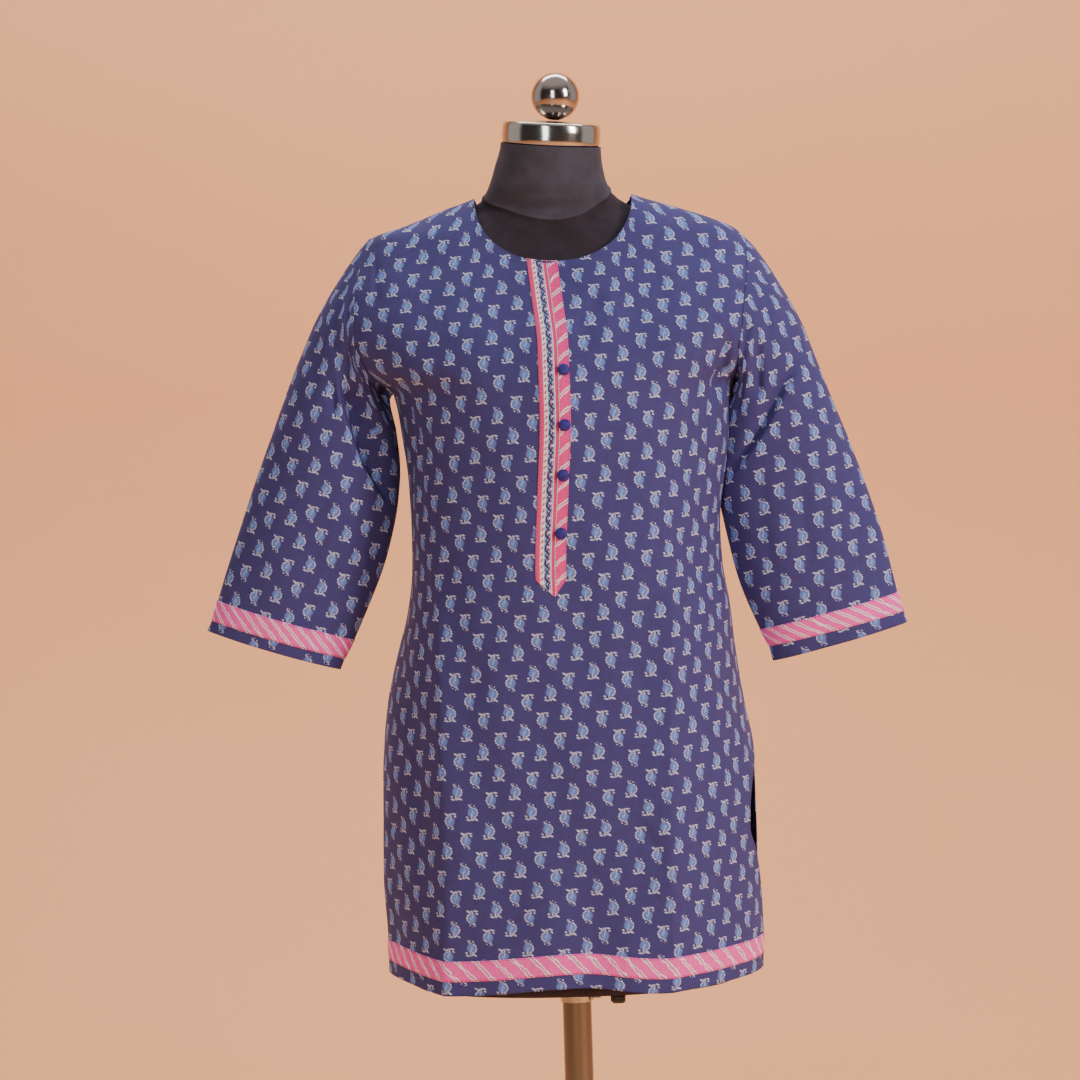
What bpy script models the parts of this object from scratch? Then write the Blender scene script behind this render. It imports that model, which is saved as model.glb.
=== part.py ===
# Kurta tunic on a limbless dress form. Metres, +Z up, -Y is the front, +X is the right of the front view.
import math

import bmesh
import bpy
from mathutils import Vector

# Cloth
CLOTH_WALL = 0.0018
TRIM_WALL = 0.0009
TRIM_GAP = 0.0004
SEAM_GAP = 0.0006
SEAM_Y = 0.006
SECTION_POWER = 2.25
HEM_Z = 0.667
BAND_LOW_Z = 0.681
BAND_TOP_Z = 0.701
UNDERARM_Z = 1.247
SHOULDER_START_Z = 1.38
SHOULDER_RANGE_Z = (1.385, 1.4475)
SHOULDER_LINE_X = 0.120
CHEST_LINE_LEFT_X = -0.088
CHEST_LINE_RIGHT_X = 0.078
NECK_HALF_WIDTH = 0.078
NECK_SIDE_Z = 1.439
NECK_FRONT_DROP = 0.066
NECK_BACK_DROP = 0.021
NECK_POWER = 2.15
PLACKET_TIP_Z = 1.064
BORDER_WIDTH = 0.0183
BAND_WIDTH = 0.0115
BUTTON_RADIUS = 0.006
BUTTON_HEIGHT = 0.0042
BUTTON_LIFT = 0.0016
BUTTON_UNDERSIDE = 0.001
BUTTON_HEIGHTS = (1.2665, 1.2145, 1.1665, 1.1105)
BUTTON_STEPS = 16
ARMHOLE_STEPS = 10

# Stand
BASE_RADIUS = 0.18
BASE_THICKNESS = 0.010
HUB_RADIUS = 0.026
HUB_HEIGHT = 0.045
HUB_FOOT_RADIUS = 0.042
BASE_ROUNDING = 0.012
POLE_RADIUS = 0.0146
POLE_BORE = 0.0151
POLE_BOTTOM_Z = 0.0045
POLE_TOP_Z = 1.0
FORM_BOTTOM_Z = 0.652
BORE_TOP_Z = 1.12
COLLAR_BOTTOM_Z = 0.632
COLLAR_RADIUS = 0.0166
FLANGE_RADIUS = 0.026
FLANGE_THICKNESS = 0.003
SCREW_Z = 0.6385
SCREW_RADIUS = 0.003
SCREW_BORE = 0.0034
BOSS_RADIUS = 0.0055
BOSS_END_X = 0.024
BOSS_INSET = 0.0012
SCREW_HOLE_LENGTH = 0.020
SCREW_HOLE_INSET = 0.002
KNOB_START_X = 0.034
KNOB_LENGTH = 0.015
KNOB_RADIUS = 0.0112
KNOB_ROUNDING = 0.003
CAP_RADIUS = 0.049
CAP_HEIGHT = 0.0235
CAP_LIP = 0.004
CAP_ROUNDING = 0.0045
NECK_TILT_RIGHT = math.radians(4.4)
NECK_TILT_FORWARD = math.radians(5.0)
BALL_RADIUS = 0.0238
BALL_SHIFT = 0.0023
NECK_TOP_Z = 1.4895
NECK_TILT_START_Z = 1.455
SMALL_GAP = 0.0003
ROUND_STEPS = 32

# Outer surface of the kurta's body: half widths left and right of the pole, depths before and behind the seam
GARMENT = {
    "columns": ("z", "left", "right", "front", "back", "seam"),
    "rows": (
        (0.655, 0.188, 0.189, 0.128, 0.139, 0.006),
        (0.700, 0.188, 0.190, 0.128, 0.139, 0.006),
        (0.760, 0.1905, 0.1885, 0.128, 0.139, 0.006),
        (0.820, 0.189, 0.187, 0.128, 0.139, 0.006),
        (0.880, 0.187, 0.1855, 0.129, 0.138, 0.006),
        (0.930, 0.182, 0.177, 0.130, 0.135, 0.006),
        (0.980, 0.171, 0.170, 0.131, 0.131, 0.006),
        (1.030, 0.1575, 0.165, 0.133, 0.126, 0.006),
        (1.070, 0.152, 0.159, 0.134, 0.121, 0.006),
        (1.110, 0.151, 0.156, 0.135, 0.118, 0.006),
        (1.160, 0.1525, 0.157, 0.136, 0.115, 0.006),
        (1.200, 0.157, 0.160, 0.136, 0.114, 0.006),
        (1.247, 0.165, 0.164, 0.135, 0.114, 0.006),
        (1.270, 0.199, 0.192, 0.131, 0.114, 0.006),
        (1.300, 0.221, 0.214, 0.119, 0.113, 0.006),
        (1.325, 0.228, 0.222, 0.103, 0.109, 0.006),
        (1.343, 0.227, 0.220, 0.092, 0.105, 0.007),
        (1.360, 0.218, 0.211, 0.081, 0.098, 0.007),
        (1.374, 0.209, 0.203, 0.072, 0.091, 0.008),
        (1.390, 0.196, 0.192, 0.062, 0.082, 0.008),
        (1.402, 0.183, 0.180, 0.055, 0.074, 0.008),
        (1.415, 0.144, 0.151, 0.047, 0.063, 0.008),
        (1.429, 0.107, 0.108, 0.037, 0.048, 0.008),
        (1.439, 0.078, 0.078, 0.027, 0.033, 0.008),
        (1.448, 0.060, 0.060, 0.018, 0.020, 0.008),
    ),
}

# The dress form: one half width for both sides, about a middle that leans to the left in the neck
FORM = {
    "columns": ("z", "half", "front", "back", "middle", "power", "lean"),
    "rows": (
        (0.652, 0.160, 0.095, 0.109, 0.006, 2.25, 0.0),
        (0.658, 0.164, 0.099, 0.113, 0.006, 2.25, 0.0),
        (0.700, 0.169, 0.102, 0.118, 0.006, 2.25, 0.0),
        (0.760, 0.176, 0.104, 0.126, 0.006, 2.25, 0.0),
        (0.820, 0.1800, 0.105, 0.131, 0.006, 2.25, 0.0),
        (0.870, 0.1790, 0.104, 0.131, 0.006, 2.25, 0.0),
        (0.920, 0.172, 0.102, 0.124, 0.006, 2.25, 0.0),
        (0.970, 0.157, 0.095, 0.111, 0.006, 2.25, 0.0),
        (1.015, 0.139, 0.090, 0.096, 0.006, 2.25, 0.0),
        (1.060, 0.127, 0.090, 0.088, 0.006, 2.25, 0.0),
        (1.110, 0.129, 0.100, 0.090, 0.006, 2.25, 0.0),
        (1.160, 0.139, 0.114, 0.097, 0.006, 2.25, 0.0),
        (1.210, 0.149, 0.127, 0.104, 0.006, 2.25, 0.0),
        (1.250, 0.155, 0.130, 0.1098, 0.006, 2.25, 0.0),
        (1.285, 0.165, 0.121, 0.1112, 0.006, 2.25, 0.0),
        (1.315, 0.176, 0.105, 0.108, 0.006, 2.25, 0.0),
        (1.340, 0.183, 0.089, 0.101, 0.007, 2.25, 0.0),
        (1.362, 0.187, 0.074, 0.092, 0.007, 2.25, 0.0),
        (1.380, 0.186, 0.062, 0.082, 0.008, 2.20, 0.0),
        (1.392, 0.178, 0.055, 0.074, 0.008, 2.10, 0.0),
        (1.402, 0.160, 0.049, 0.066, 0.008, 2.00, 0.0),
        (1.413, 0.128, 0.044, 0.058, 0.008, 1.70, -0.001),
        (1.425, 0.086, 0.042, 0.052, 0.007, 1.50, -0.003),
        (1.437, 0.067, 0.045, 0.050, 0.004, 1.75, -0.0045),
        (1.450, 0.059, 0.048, 0.051, 0.003, 2.00, -0.0045),
        (1.465, 0.0545, 0.048, 0.050, 0.001, 2.00, -0.0035),
        (1.4895, 0.0498, 0.048, 0.048, -0.001, 2.00, -0.0005),
    ),
}

# Seam lines of the armholes in the front view, from the underarm up to the shoulder tip
ARMHOLE = {
    "columns": ("along", "left_x", "left_z", "right_x", "right_z"),
    "rows": (
        (0.00, 0.1650, 1.247, 0.1640, 1.247),
        (0.15, 0.1800, 1.262, 0.1710, 1.261),
        (0.30, 0.1925, 1.283, 0.1765, 1.282),
        (0.45, 0.1985, 1.306, 0.1805, 1.305),
        (0.60, 0.1985, 1.331, 0.1835, 1.330),
        (0.80, 0.1935, 1.366, 0.1885, 1.362),
        (1.00, 0.1840, 1.402, 0.1905, 1.3917),
    ),
}

# Upright lines of the front in the front view: pressed folds and placket
FRONT_LINES = {
    "columns": ("z", "left_fold", "right_fold", "placket"),
    "rows": (
        (0.655, -0.122, 0.090, -0.0095),
        (0.780, -0.119, 0.092, -0.0095),
        (0.910, -0.118, 0.095, -0.0095),
        (1.070, -0.119, 0.101, -0.0095),
        (1.150, -0.118, 0.106, -0.0050),
        (1.230, -0.118, 0.118, -0.0005),
        (1.290, -0.119, 0.120, -0.0008),
        (1.340, -0.120, 0.120, -0.0055),
        (1.385, -0.120, 0.120, -0.0095),
        (1.440, -0.120, 0.120, -0.0100),
    ),
}

# Pressed folds stand out as ridges: their line, height span, how far they stand out, reach in radians
PRESSED_FOLDS = (
    {"side": "front", "line": "left_fold", "fade_from": 1.00, "fade_to": 1.22, "out": 0.0075, "reach": 0.62},
    {"side": "front", "line": "right_fold", "fade_from": 0.98, "fade_to": 1.20, "out": 0.0060, "reach": 0.55},
    {"side": "back", "line": "left_fold", "fade_from": 0.95, "fade_to": 1.18, "out": 0.0060, "reach": 0.60},
    {"side": "back", "line": "right_fold", "fade_from": 0.95, "fade_to": 1.18, "out": 0.0055, "reach": 0.60},
)

# The hem line dips towards the side seams
HEM_LINE = {
    "columns": ("x", "z"),
    "rows": ((-0.190, 0.667), (-0.122, 0.660), (0.0, 0.667), (0.090, 0.659), (0.190, 0.662)),
}

# How far the front edge swings forward in each side slit, in radians
SLIT = {
    "columns": ("z", "left", "right", "back"),
    "rows": (
        (0.655, 0.05, 0.05, 0.10),
        (0.740, 0.07, 0.08, 0.14),
        (0.785, 0.08, 0.21, 0.16),
        (0.812, 0.08, 0.35, 0.16),
        (0.840, 0.08, 0.29, 0.14),
        (0.870, 0.05, 0.20, 0.08),
        (0.885, 0.00, 0.00, 0.00),
        (1.250, 0.00, 0.00, 0.00),
    ),
}

PANEL_HEIGHTS = (0.735, 0.775, 0.812, 0.848, 0.885, 0.935, 0.985, 1.03, 1.075, 1.12, 1.165, 1.205)

# Cross sections of the sleeves: outer and inner edge in the front view, depths, power of the curve
SLEEVE_LEFT = {
    "columns": ("outer_x", "outer_z", "inner_x", "inner_z", "front", "back", "middle", "power"),
    "rows": (
        (-0.2440, 1.3140, -0.1630, 1.2090, 0.053, 0.056, 0.004, 2.1),
        (-0.2680, 1.2590, -0.1605, 1.1780, 0.049, 0.052, 0.003, 2.0),
        (-0.2900, 1.2040, -0.1625, 1.1500, 0.045, 0.048, 0.002, 2.0),
        (-0.3110, 1.1500, -0.1680, 1.1180, 0.041, 0.043, 0.000, 1.9),
        (-0.3300, 1.0970, -0.1820, 1.0700, 0.036, 0.037, -0.002, 1.8),
        (-0.3468, 1.0468, -0.2115, 1.0036, 0.029, 0.029, -0.004, 1.7),
        (-0.3534, 1.0270, -0.2216, 0.9850, 0.027, 0.027, -0.005, 1.7),
        (-0.3587, 1.0170, -0.2262, 0.9740, 0.026, 0.026, -0.005, 1.7),
    ),
}
SLEEVE_RIGHT = {
    "columns": SLEEVE_LEFT["columns"],
    "rows": (
        (0.2470, 1.2990, 0.1670, 1.2060, 0.053, 0.056, 0.004, 2.1),
        (0.2690, 1.2380, 0.1640, 1.1720, 0.049, 0.052, 0.003, 2.0),
        (0.2880, 1.1890, 0.1625, 1.1400, 0.044, 0.047, 0.002, 2.0),
        (0.3050, 1.1400, 0.1640, 1.0980, 0.040, 0.042, 0.000, 1.9),
        (0.3190, 1.0920, 0.1755, 1.0480, 0.034, 0.036, -0.002, 1.8),
        (0.3322, 1.0350, 0.1941, 1.0022, 0.028, 0.028, -0.004, 1.7),
        (0.3376, 1.0160, 0.2026, 0.9850, 0.026, 0.026, -0.005, 1.7),
        (0.3413, 1.0046, 0.2061, 0.9698, 0.025, 0.025, -0.005, 1.7),
    ),
}
SLEEVE_BAND_ROWS = (5, 6)

# Sunk folds across the front of each sleeve, in the front view
SLEEVE_FOLDS = {
    "left": ({"from": (-0.222, 1.262), "to": (-0.172, 1.145), "depth": 0.012, "width": 0.022},),
    "right": (
        {"from": (0.236, 1.262), "to": (0.170, 1.158), "depth": 0.009, "width": 0.020},
        {"from": (0.182, 1.255), "to": (0.172, 1.190), "depth": 0.008, "width": 0.016},
    ),
}

# The head of a sleeve: how far the cloth runs on from the armhole, at the underarm and at the top
SLEEVE_HEAD = {"out": (0.022, 0.050), "down": (0.006, 0.052), "side_drop": 0.030, "arrive": 1.1}
SLEEVE_HEAD_SHARES = (0.25, 0.5, 0.75)

parts = None
cutters = None


def smooth(table, name, at):
    """A smooth curve through one column of a table, read at one value of the first column."""
    column = table["columns"].index(name)
    rows = table["rows"]
    if at <= rows[0][0]:
        return rows[0][column]
    if at >= rows[-1][0]:
        return rows[-1][column]
    low = max(index for index in range(len(rows) - 1) if rows[index][0] <= at)
    span = rows[low + 1][0] - rows[low][0]
    share = (at - rows[low][0]) / span

    def slope(index):
        if index == 0 or index == len(rows) - 1:
            return 0.0
        before = (rows[index][column] - rows[index - 1][column]) / (rows[index][0] - rows[index - 1][0])
        after = (rows[index + 1][column] - rows[index][column]) / (rows[index + 1][0] - rows[index][0])
        if before * after <= 0:
            return 0.0
        return 2 * before * after / (before + after)

    square = share * share
    cube = square * share
    value = (2 * cube - 3 * square + 1) * rows[low][column]
    value += (cube - 2 * square + share) * span * slope(low)
    value += (3 * square - 2 * cube) * rows[low + 1][column]
    value += (cube - square) * span * slope(low + 1)
    return value


def mix(first, last, share):
    return first + (last - first) * share


def fade(at, start, end):
    share = min(max((at - start) / (end - start), 0.0), 1.0)
    return share * share * (3 - 2 * share)


def side_sign(side):
    return -1.0 if side == "front" else 1.0


def angle_at(x, z):
    """Angle from the centre line at which the section at height z reaches x."""
    half = smooth(GARMENT, "left" if x < 0 else "right", z)
    share = min(abs(x) / half, 1.0) ** (SECTION_POWER / 2)
    return math.copysign(math.asin(share), x)


def fold_lift(side, angle, z):
    lift = 0.0
    for fold in PRESSED_FOLDS:
        if fold["side"] != side:
            continue
        line = angle_at(smooth(FRONT_LINES, fold["line"], z), z)
        near = max(0.0, 1.0 - abs(angle - line) / fold["reach"])
        lift += fold["out"] * near ** 1.6 * (1.0 - fade(z, fold["fade_from"], fold["fade_to"]))
    return lift


def body_at_angle(side, angle, z):
    """Point of the kurta's outer surface below the underarm."""
    half = smooth(GARMENT, "left" if angle < 0 else "right", z)
    depth = smooth(GARMENT, side, z)
    lift = fold_lift(side, angle, z)
    x = (half + lift) * math.copysign(abs(math.sin(angle)) ** (2 / SECTION_POWER), angle)
    y = (depth + lift) * max(math.cos(angle), 0.0) ** (2 / SECTION_POWER)
    return Vector((x, smooth(GARMENT, "seam", z) + side_sign(side) * y, z))


def body_at_x(side, x, z):
    """Point of the kurta's outer surface above the underarm."""
    half = smooth(GARMENT, "left" if x < 0 else "right", z)
    share = min(abs(x) / half, 1.0)
    y = smooth(GARMENT, side, z) * (1 - share ** SECTION_POWER) ** (1 / SECTION_POWER)
    return Vector((x, smooth(GARMENT, "seam", z) + side_sign(side) * y, z))


def armhole_point(hand, along):
    x = smooth(ARMHOLE, hand + "_x", along)
    z = smooth(ARMHOLE, hand + "_z", along)
    return (-x if hand == "left" else x, z)


def neckline(side, x):
    """Height of the neckline at x, in the front view."""
    drop = NECK_FRONT_DROP if side == "front" else NECK_BACK_DROP
    share = min(abs(x) / NECK_HALF_WIDTH, 1.0)
    return NECK_SIDE_Z - drop * (1 - share ** NECK_POWER) ** (1 / NECK_POWER)


def shoulder_height(hand, x):
    """Height of the shoulder line at x: where the section is just as wide."""
    low, high = SHOULDER_RANGE_Z
    for _ in range(40):
        middle = (low + high) / 2
        if smooth(GARMENT, hand, middle) > abs(x):
            low = middle
        else:
            high = middle
    return (low + high) / 2


def anchor_lines(side, z):
    """Upright lines that the columns of a panel follow below the underarm, as angles."""
    slit_left = smooth(SLIT, "left" if side == "front" else "back", z)
    slit_right = smooth(SLIT, "right" if side == "front" else "back", z)
    lines = [-math.pi / 2 + slit_left, angle_at(smooth(FRONT_LINES, "left_fold", z), z)]
    lines.append(angle_at(CHEST_LINE_LEFT_X, z))
    if side == "front":
        middle = smooth(FRONT_LINES, "placket", z)
        lines.append(angle_at(middle - BORDER_WIDTH, z))
        lines.append(angle_at(middle, z))
        lines.append(angle_at(middle + BAND_WIDTH, z))
    else:
        lines.append(0.0)
    lines.append(angle_at(CHEST_LINE_RIGHT_X, z))
    lines += [angle_at(smooth(FRONT_LINES, "right_fold", z), z), math.pi / 2 - slit_right]
    return lines


def top_anchors(side):
    """Where the same lines end on the shoulder seams and the neckline, as (x, z)."""
    tip_left = armhole_point("left", 1.0)
    tip_right = armhole_point("right", 1.0)
    ends = [tip_left, (-SHOULDER_LINE_X, shoulder_height("left", SHOULDER_LINE_X))]
    ends.append((-NECK_HALF_WIDTH, NECK_SIDE_Z))
    if side == "front":
        middle = smooth(FRONT_LINES, "placket", NECK_SIDE_Z - NECK_FRONT_DROP)
        for x in (middle - BORDER_WIDTH, middle, middle + BAND_WIDTH):
            ends.append((x, neckline(side, x)))
    else:
        ends.append((0.0, neckline(side, 0.0)))
    ends.append((NECK_HALF_WIDTH, NECK_SIDE_Z))
    ends += [(SHOULDER_LINE_X, shoulder_height("right", SHOULDER_LINE_X)), tip_right]
    return ends


def panel_steps(side):
    """How many columns lie between one upright line and the next."""
    return (5, 1, 4, 1, 1, 5, 1, 5) if side == "front" else (5, 1, 5, 5, 1, 5)


def spread(anchors, steps):
    """Fills in the columns between the upright lines: a list of (value, span, share)."""
    filled = []
    for span, count in enumerate(steps):
        for step in range(count):
            share = step / count
            filled.append((mix(anchors[span], anchors[span + 1], share), span, share))
    filled.append((anchors[-1], len(steps) - 1, 1.0))
    return filled


def top_edge(side):
    """Points (x, z) of the neckline and the shoulder seams, one for each column."""
    ends = top_anchors(side)
    edge = []
    neck_spans = range(2, len(ends) - 3)
    for x, span, share in spread([end[0] for end in ends], panel_steps(side)):
        outer_neck = span == neck_spans[0] or span == neck_spans[-1]
        if span in neck_spans and outer_neck and 0 < share < 1:
            inner_x = ends[span + 1][0] if span == neck_spans[0] else ends[span][0]
            turn = 1 - (share if span == neck_spans[0] else 1 - share) ** 1.5
            first = math.asin(abs(inner_x) / NECK_HALF_WIDTH) if side == "front" else 0.0
            x = NECK_HALF_WIDTH * math.sin(mix(first, math.pi / 2, turn))
            x = math.copysign(x, ends[span][0] + ends[span + 1][0])
        if abs(x) <= NECK_HALF_WIDTH:
            edge.append((x, neckline(side, x)))
        else:
            edge.append((x, shoulder_height("left" if x < 0 else "right", x)))
    edge[0], edge[-1] = ends[0], ends[-1]
    return edge


def lower_row(side, z_row):
    """One row of outer points between the hem and the underarm."""
    row = []
    for angle, _, _ in spread(anchor_lines(side, z_row), panel_steps(side)):
        rough = body_at_angle(side, angle, z_row)
        hem = smooth(HEM_LINE, "z", rough.x)
        z = mix(hem, UNDERARM_Z, (z_row - HEM_Z) / (UNDERARM_Z - HEM_Z))
        row.append(body_at_angle(side, angle, z))
    return row


def upper_row(side, along, first, last):
    """One row of outer points between the underarm and the shoulders, kept to the armholes at its ends."""
    row = []
    count = len(first)
    for column in range(count):
        share = column / (count - 1)
        x = mix(first[column].x, last[column][0], along)
        z = mix(first[column].z, last[column][1], along)
        for hand, weight, end in (("left", 1 - share, 0), ("right", share, -1)):
            hole = armhole_point(hand, along)
            weight = weight ** 2
            x += weight * (hole[0] - mix(first[end].x, last[end][0], along))
            z += weight * (hole[1] - mix(first[end].z, last[end][1], along))
        row.append(body_at_x(side, x, z))
    return row


def straighten_placket(rows, side):
    """Keeps the placket's columns on the placket's own lines."""
    if side != "front":
        return
    first = sum(panel_steps(side)[:3])
    for row in rows:
        for offset, shift in enumerate((-BORDER_WIDTH, 0.0, BAND_WIDTH)):
            point = row[first + offset]
            x = smooth(FRONT_LINES, "placket", point.z) + shift
            row[first + offset] = body_at_x(side, x, point.z)


def panel_rows(side):
    heights = (HEM_Z, BAND_LOW_Z, BAND_TOP_Z) + PANEL_HEIGHTS
    rows = [lower_row(side, z) for z in heights]
    first = lower_row(side, UNDERARM_Z)
    last = top_edge(side)
    upper = [first]
    for step in range(1, ARMHOLE_STEPS):
        upper.append(upper_row(side, step / ARMHOLE_STEPS, first, last))
    top = [body_at_x(side, x, z) for x, z in last]
    for point in top:
        if on_shoulder_seam(point):
            point.y = smooth(GARMENT, "seam", point.z)
    upper.append(top)
    straighten_placket(upper[1:-1], side)
    return rows + upper


def on_shoulder_seam(point):
    return abs(point.x) >= NECK_HALF_WIDTH - SMALL_GAP


def grid_normals(rows, outward, closed=False):
    """Normals of a grid of points, turned to agree with the outward function."""
    normals = []
    height, width = len(rows), len(rows[0])
    for r in range(height):
        line = []
        for c in range(width):
            if closed:
                across = rows[r][(c + 1) % width] - rows[r][c - 1]
            else:
                across = rows[r][min(c + 1, width - 1)] - rows[r][max(c - 1, 0)]
            up = rows[min(r + 1, height - 1)][c] - rows[max(r - 1, 0)][c]
            normal = across.cross(up).normalized()
            if normal.dot(outward(rows[r][c])) < 0:
                normal = -normal
            line.append(normal)
        normals.append(line)
    return normals


def away_from_body(point):
    """Rough direction away from the body, which is also upwards on the shoulders."""
    up = 0.03 if point.z > SHOULDER_START_Z else 0.0
    return Vector((point.x, point.y - SEAM_Y, up))


def panel_normals(rows):
    """Panel normals, with the same direction on both panels along the side and shoulder seams."""
    normals = grid_normals(rows, away_from_body)
    seam_rows = len(rows) - ARMHOLE_STEPS
    for r, line in enumerate(normals):
        for c, normal in enumerate(line):
            on_side = c in (0, len(line) - 1) and r < seam_rows
            on_shoulder = r == len(rows) - 1 and on_shoulder_seam(rows[r][c])
            if on_side or on_shoulder:
                flat = Vector((normal.x, 0.0, normal.z if on_shoulder else 0.0))
                if on_side:
                    flat.x = math.copysign(1.0, rows[r][c].x)
                line[c] = flat.normalized()
                if on_shoulder and line[c].z < 0:
                    line[c] = -line[c]
    return normals


def offset_rows(rows, normals, distance):
    return [[p + n * distance for p, n in zip(row, line)] for row, line in zip(rows, normals)]


def part_at_seams(side, rows):
    """Draws the seam edges of a panel back so that the two panels don't touch."""
    shift = Vector((0.0, side_sign(side) * SEAM_GAP / 2, 0.0))
    seam_rows = len(rows) - ARMHOLE_STEPS
    for r, row in enumerate(rows):
        for c in range(len(row)):
            on_side = c in (0, len(row) - 1) and r < seam_rows
            on_shoulder = r == len(rows) - 1 and on_shoulder_seam(row[c])
            if on_side or on_shoulder:
                row[c] = row[c] + shift
    return rows


def wall_mesh(name, outer, inner, closed=False):
    """One closed wall between two grids of points with the same layout."""
    mesh = bmesh.new()
    height, width = len(outer), len(outer[0])
    layers = []
    for grid in (outer, inner):
        layers.append([[mesh.verts.new(point) for point in row] for row in grid])
    columns = width if closed else width - 1
    for r in range(height - 1):
        for c in range(columns):
            d = (c + 1) % width
            a, b = layers
            mesh.faces.new((a[r][c], a[r][d], a[r + 1][d], a[r + 1][c]))
            mesh.faces.new((b[r][c], b[r + 1][c], b[r + 1][d], b[r][d]))
    for r, flip in ((0, False), (height - 1, True)):
        for c in range(columns):
            d = (c + 1) % width
            face = [layers[0][r][c], layers[1][r][c], layers[1][r][d], layers[0][r][d]]
            mesh.faces.new(face[::-1] if flip else face)
    if not closed:
        for c, flip in ((0, True), (width - 1, False)):
            for r in range(height - 1):
                face = [layers[0][r][c], layers[1][r][c], layers[1][r + 1][c], layers[0][r + 1][c]]
                mesh.faces.new(face[::-1] if flip else face)
    bmesh.ops.recalc_face_normals(mesh, faces=mesh.faces)
    if mesh.calc_volume(signed=True) < 0:
        bmesh.ops.reverse_faces(mesh, faces=mesh.faces)
    return finish_mesh(name, mesh)


def finish_mesh(name, mesh):
    data = bpy.data.meshes.new(name)
    mesh.to_mesh(data)
    mesh.free()
    data.shade_smooth()
    data.set_sharp_from_angle(angle=math.radians(40))
    thing = bpy.data.objects.new(name, data)
    parts.objects.link(thing)
    return thing


def material(name, color, roughness, metallic=0.0):
    made = bpy.data.materials.new(name)
    made.use_nodes = True
    shader = made.node_tree.nodes["Principled BSDF"]
    shader.inputs["Base Color"].default_value = (*color, 1.0)
    shader.inputs["Roughness"].default_value = roughness
    shader.inputs["Metallic"].default_value = metallic
    return made


def dress(thing, made):
    thing.data.materials.clear()
    thing.data.materials.append(made)
    return thing


def turned(name, profile, steps=ROUND_STEPS):
    """A solid turned about Z from a profile of (radius, height) that runs down its outer side."""
    data = bpy.data.meshes.new(name)
    points = [(radius, 0.0, height) for radius, height in profile]
    data.from_pydata(points, [(i, i + 1) for i in range(len(points) - 1)], [])
    thing = bpy.data.objects.new(name, data)
    parts.objects.link(thing)
    screw = thing.modifiers.new("turn", "SCREW")
    screw.steps = steps
    screw.render_steps = steps
    screw.use_merge_vertices = True
    screw.merge_threshold = 0.00005
    screw.use_smooth_shade = True
    return thing


def cutter(name, radius, depth, location, rotation=(0, 0, 0), vertices=ROUND_STEPS):
    bpy.ops.mesh.primitive_cylinder_add(
        vertices=vertices, radius=radius, depth=depth, location=location, rotation=rotation)
    thing = bpy.context.object
    thing.name = name
    for collection in list(thing.users_collection):
        collection.objects.unlink(thing)
    cutters.objects.link(thing)
    thing.hide_render = True
    thing.display_type = "WIRE"
    return thing


def join_tool(target, tool, operation):
    boolean = target.modifiers.new(tool.name, "BOOLEAN")
    boolean.operation = operation
    boolean.object = tool
    boolean.solver = "EXACT"


def build_panel(side, cotton):
    rows = panel_rows(side)
    normals = panel_normals(rows)
    outer = part_at_seams(side, rows)
    inner = offset_rows(outer, normals, -CLOTH_WALL)
    dress(wall_mesh(side + "_panel", outer, inner), cotton)
    return outer, normals


def build_hem_band(side, outer, normals, wave):
    rows, lines = outer[1:3], normals[1:3]
    low = offset_rows(rows, lines, TRIM_GAP)
    high = offset_rows(rows, lines, TRIM_GAP + TRIM_WALL)
    dress(wall_mesh("hem_band_" + side, high, low), wave)


def placket_grid(outer, normals, first):
    """Rows of the front panel that the placket covers, cut off at its tip."""
    chosen = [r for r, row in enumerate(outer) if row[first].z > PLACKET_TIP_Z]
    rows = [outer[r][first:first + 2] for r in chosen]
    lines = [normals[r][first:first + 2] for r in chosen]
    below = outer[chosen[0] - 1][first:first + 2]
    tip = []
    for low, high in zip(below, rows[0]):
        share = (PLACKET_TIP_Z - low.z) / (high.z - low.z)
        tip.append(low.lerp(high, share))
    return [tip] + rows, [lines[0]] + lines


def build_placket(outer, normals, border, wave):
    first = sum(panel_steps("front")[:3])
    side_gap = Vector((SMALL_GAP / 2, 0.0, 0.0))
    strips = (("placket_border", first, border, -1), ("placket_band", first + 1, wave, 1))
    for name, column, made, shift in strips:
        rows, lines = placket_grid(outer, normals, column)
        edge = 1 if shift < 0 else 0
        for row in rows:
            row[edge] = row[edge] + side_gap * shift
        low = offset_rows(rows, lines, TRIM_GAP)
        high = offset_rows(rows, lines, TRIM_GAP + TRIM_WALL)
        dress(wall_mesh(name, high, low), made)


def build_buttons(outer, normals, made):
    column = sum(panel_steps("front")[:3]) + 1
    for number, height in enumerate(BUTTON_HEIGHTS, start=1):
        low = max(r for r, row in enumerate(outer) if row[column].z <= height)
        share = (height - outer[low][column].z) / (outer[low + 1][column].z - outer[low][column].z)
        left = outer[low][column].lerp(outer[low + 1][column], share)
        right = outer[low][column + 1].lerp(outer[low + 1][column + 1], share)
        normal = normals[low][column].lerp(normals[low + 1][column + 1], 0.5).normalized()
        profile = button_profile()
        button = dress(turned("button_" + str(number), profile, BUTTON_STEPS), made)
        button.rotation_mode = "QUATERNION"
        button.rotation_quaternion = normal.to_track_quat("Z", "Y")
        button.location = left.lerp(right, 0.5) + normal * (TRIM_GAP + TRIM_WALL + BUTTON_LIFT)


def button_profile():
    """A low dome with a rounded rim and a flat underside."""
    dome = []
    for step in range(5):
        angle = math.radians(90 - 22.5 * step)
        radius = BUTTON_RADIUS * math.cos(angle)
        dome.append((radius, BUTTON_HEIGHT * (0.35 + 0.65 * math.sin(angle)) - BUTTON_UNDERSIDE))
    return dome + [(BUTTON_RADIUS * 0.9, -BUTTON_UNDERSIDE), (0.0, -BUTTON_UNDERSIDE)]


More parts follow.
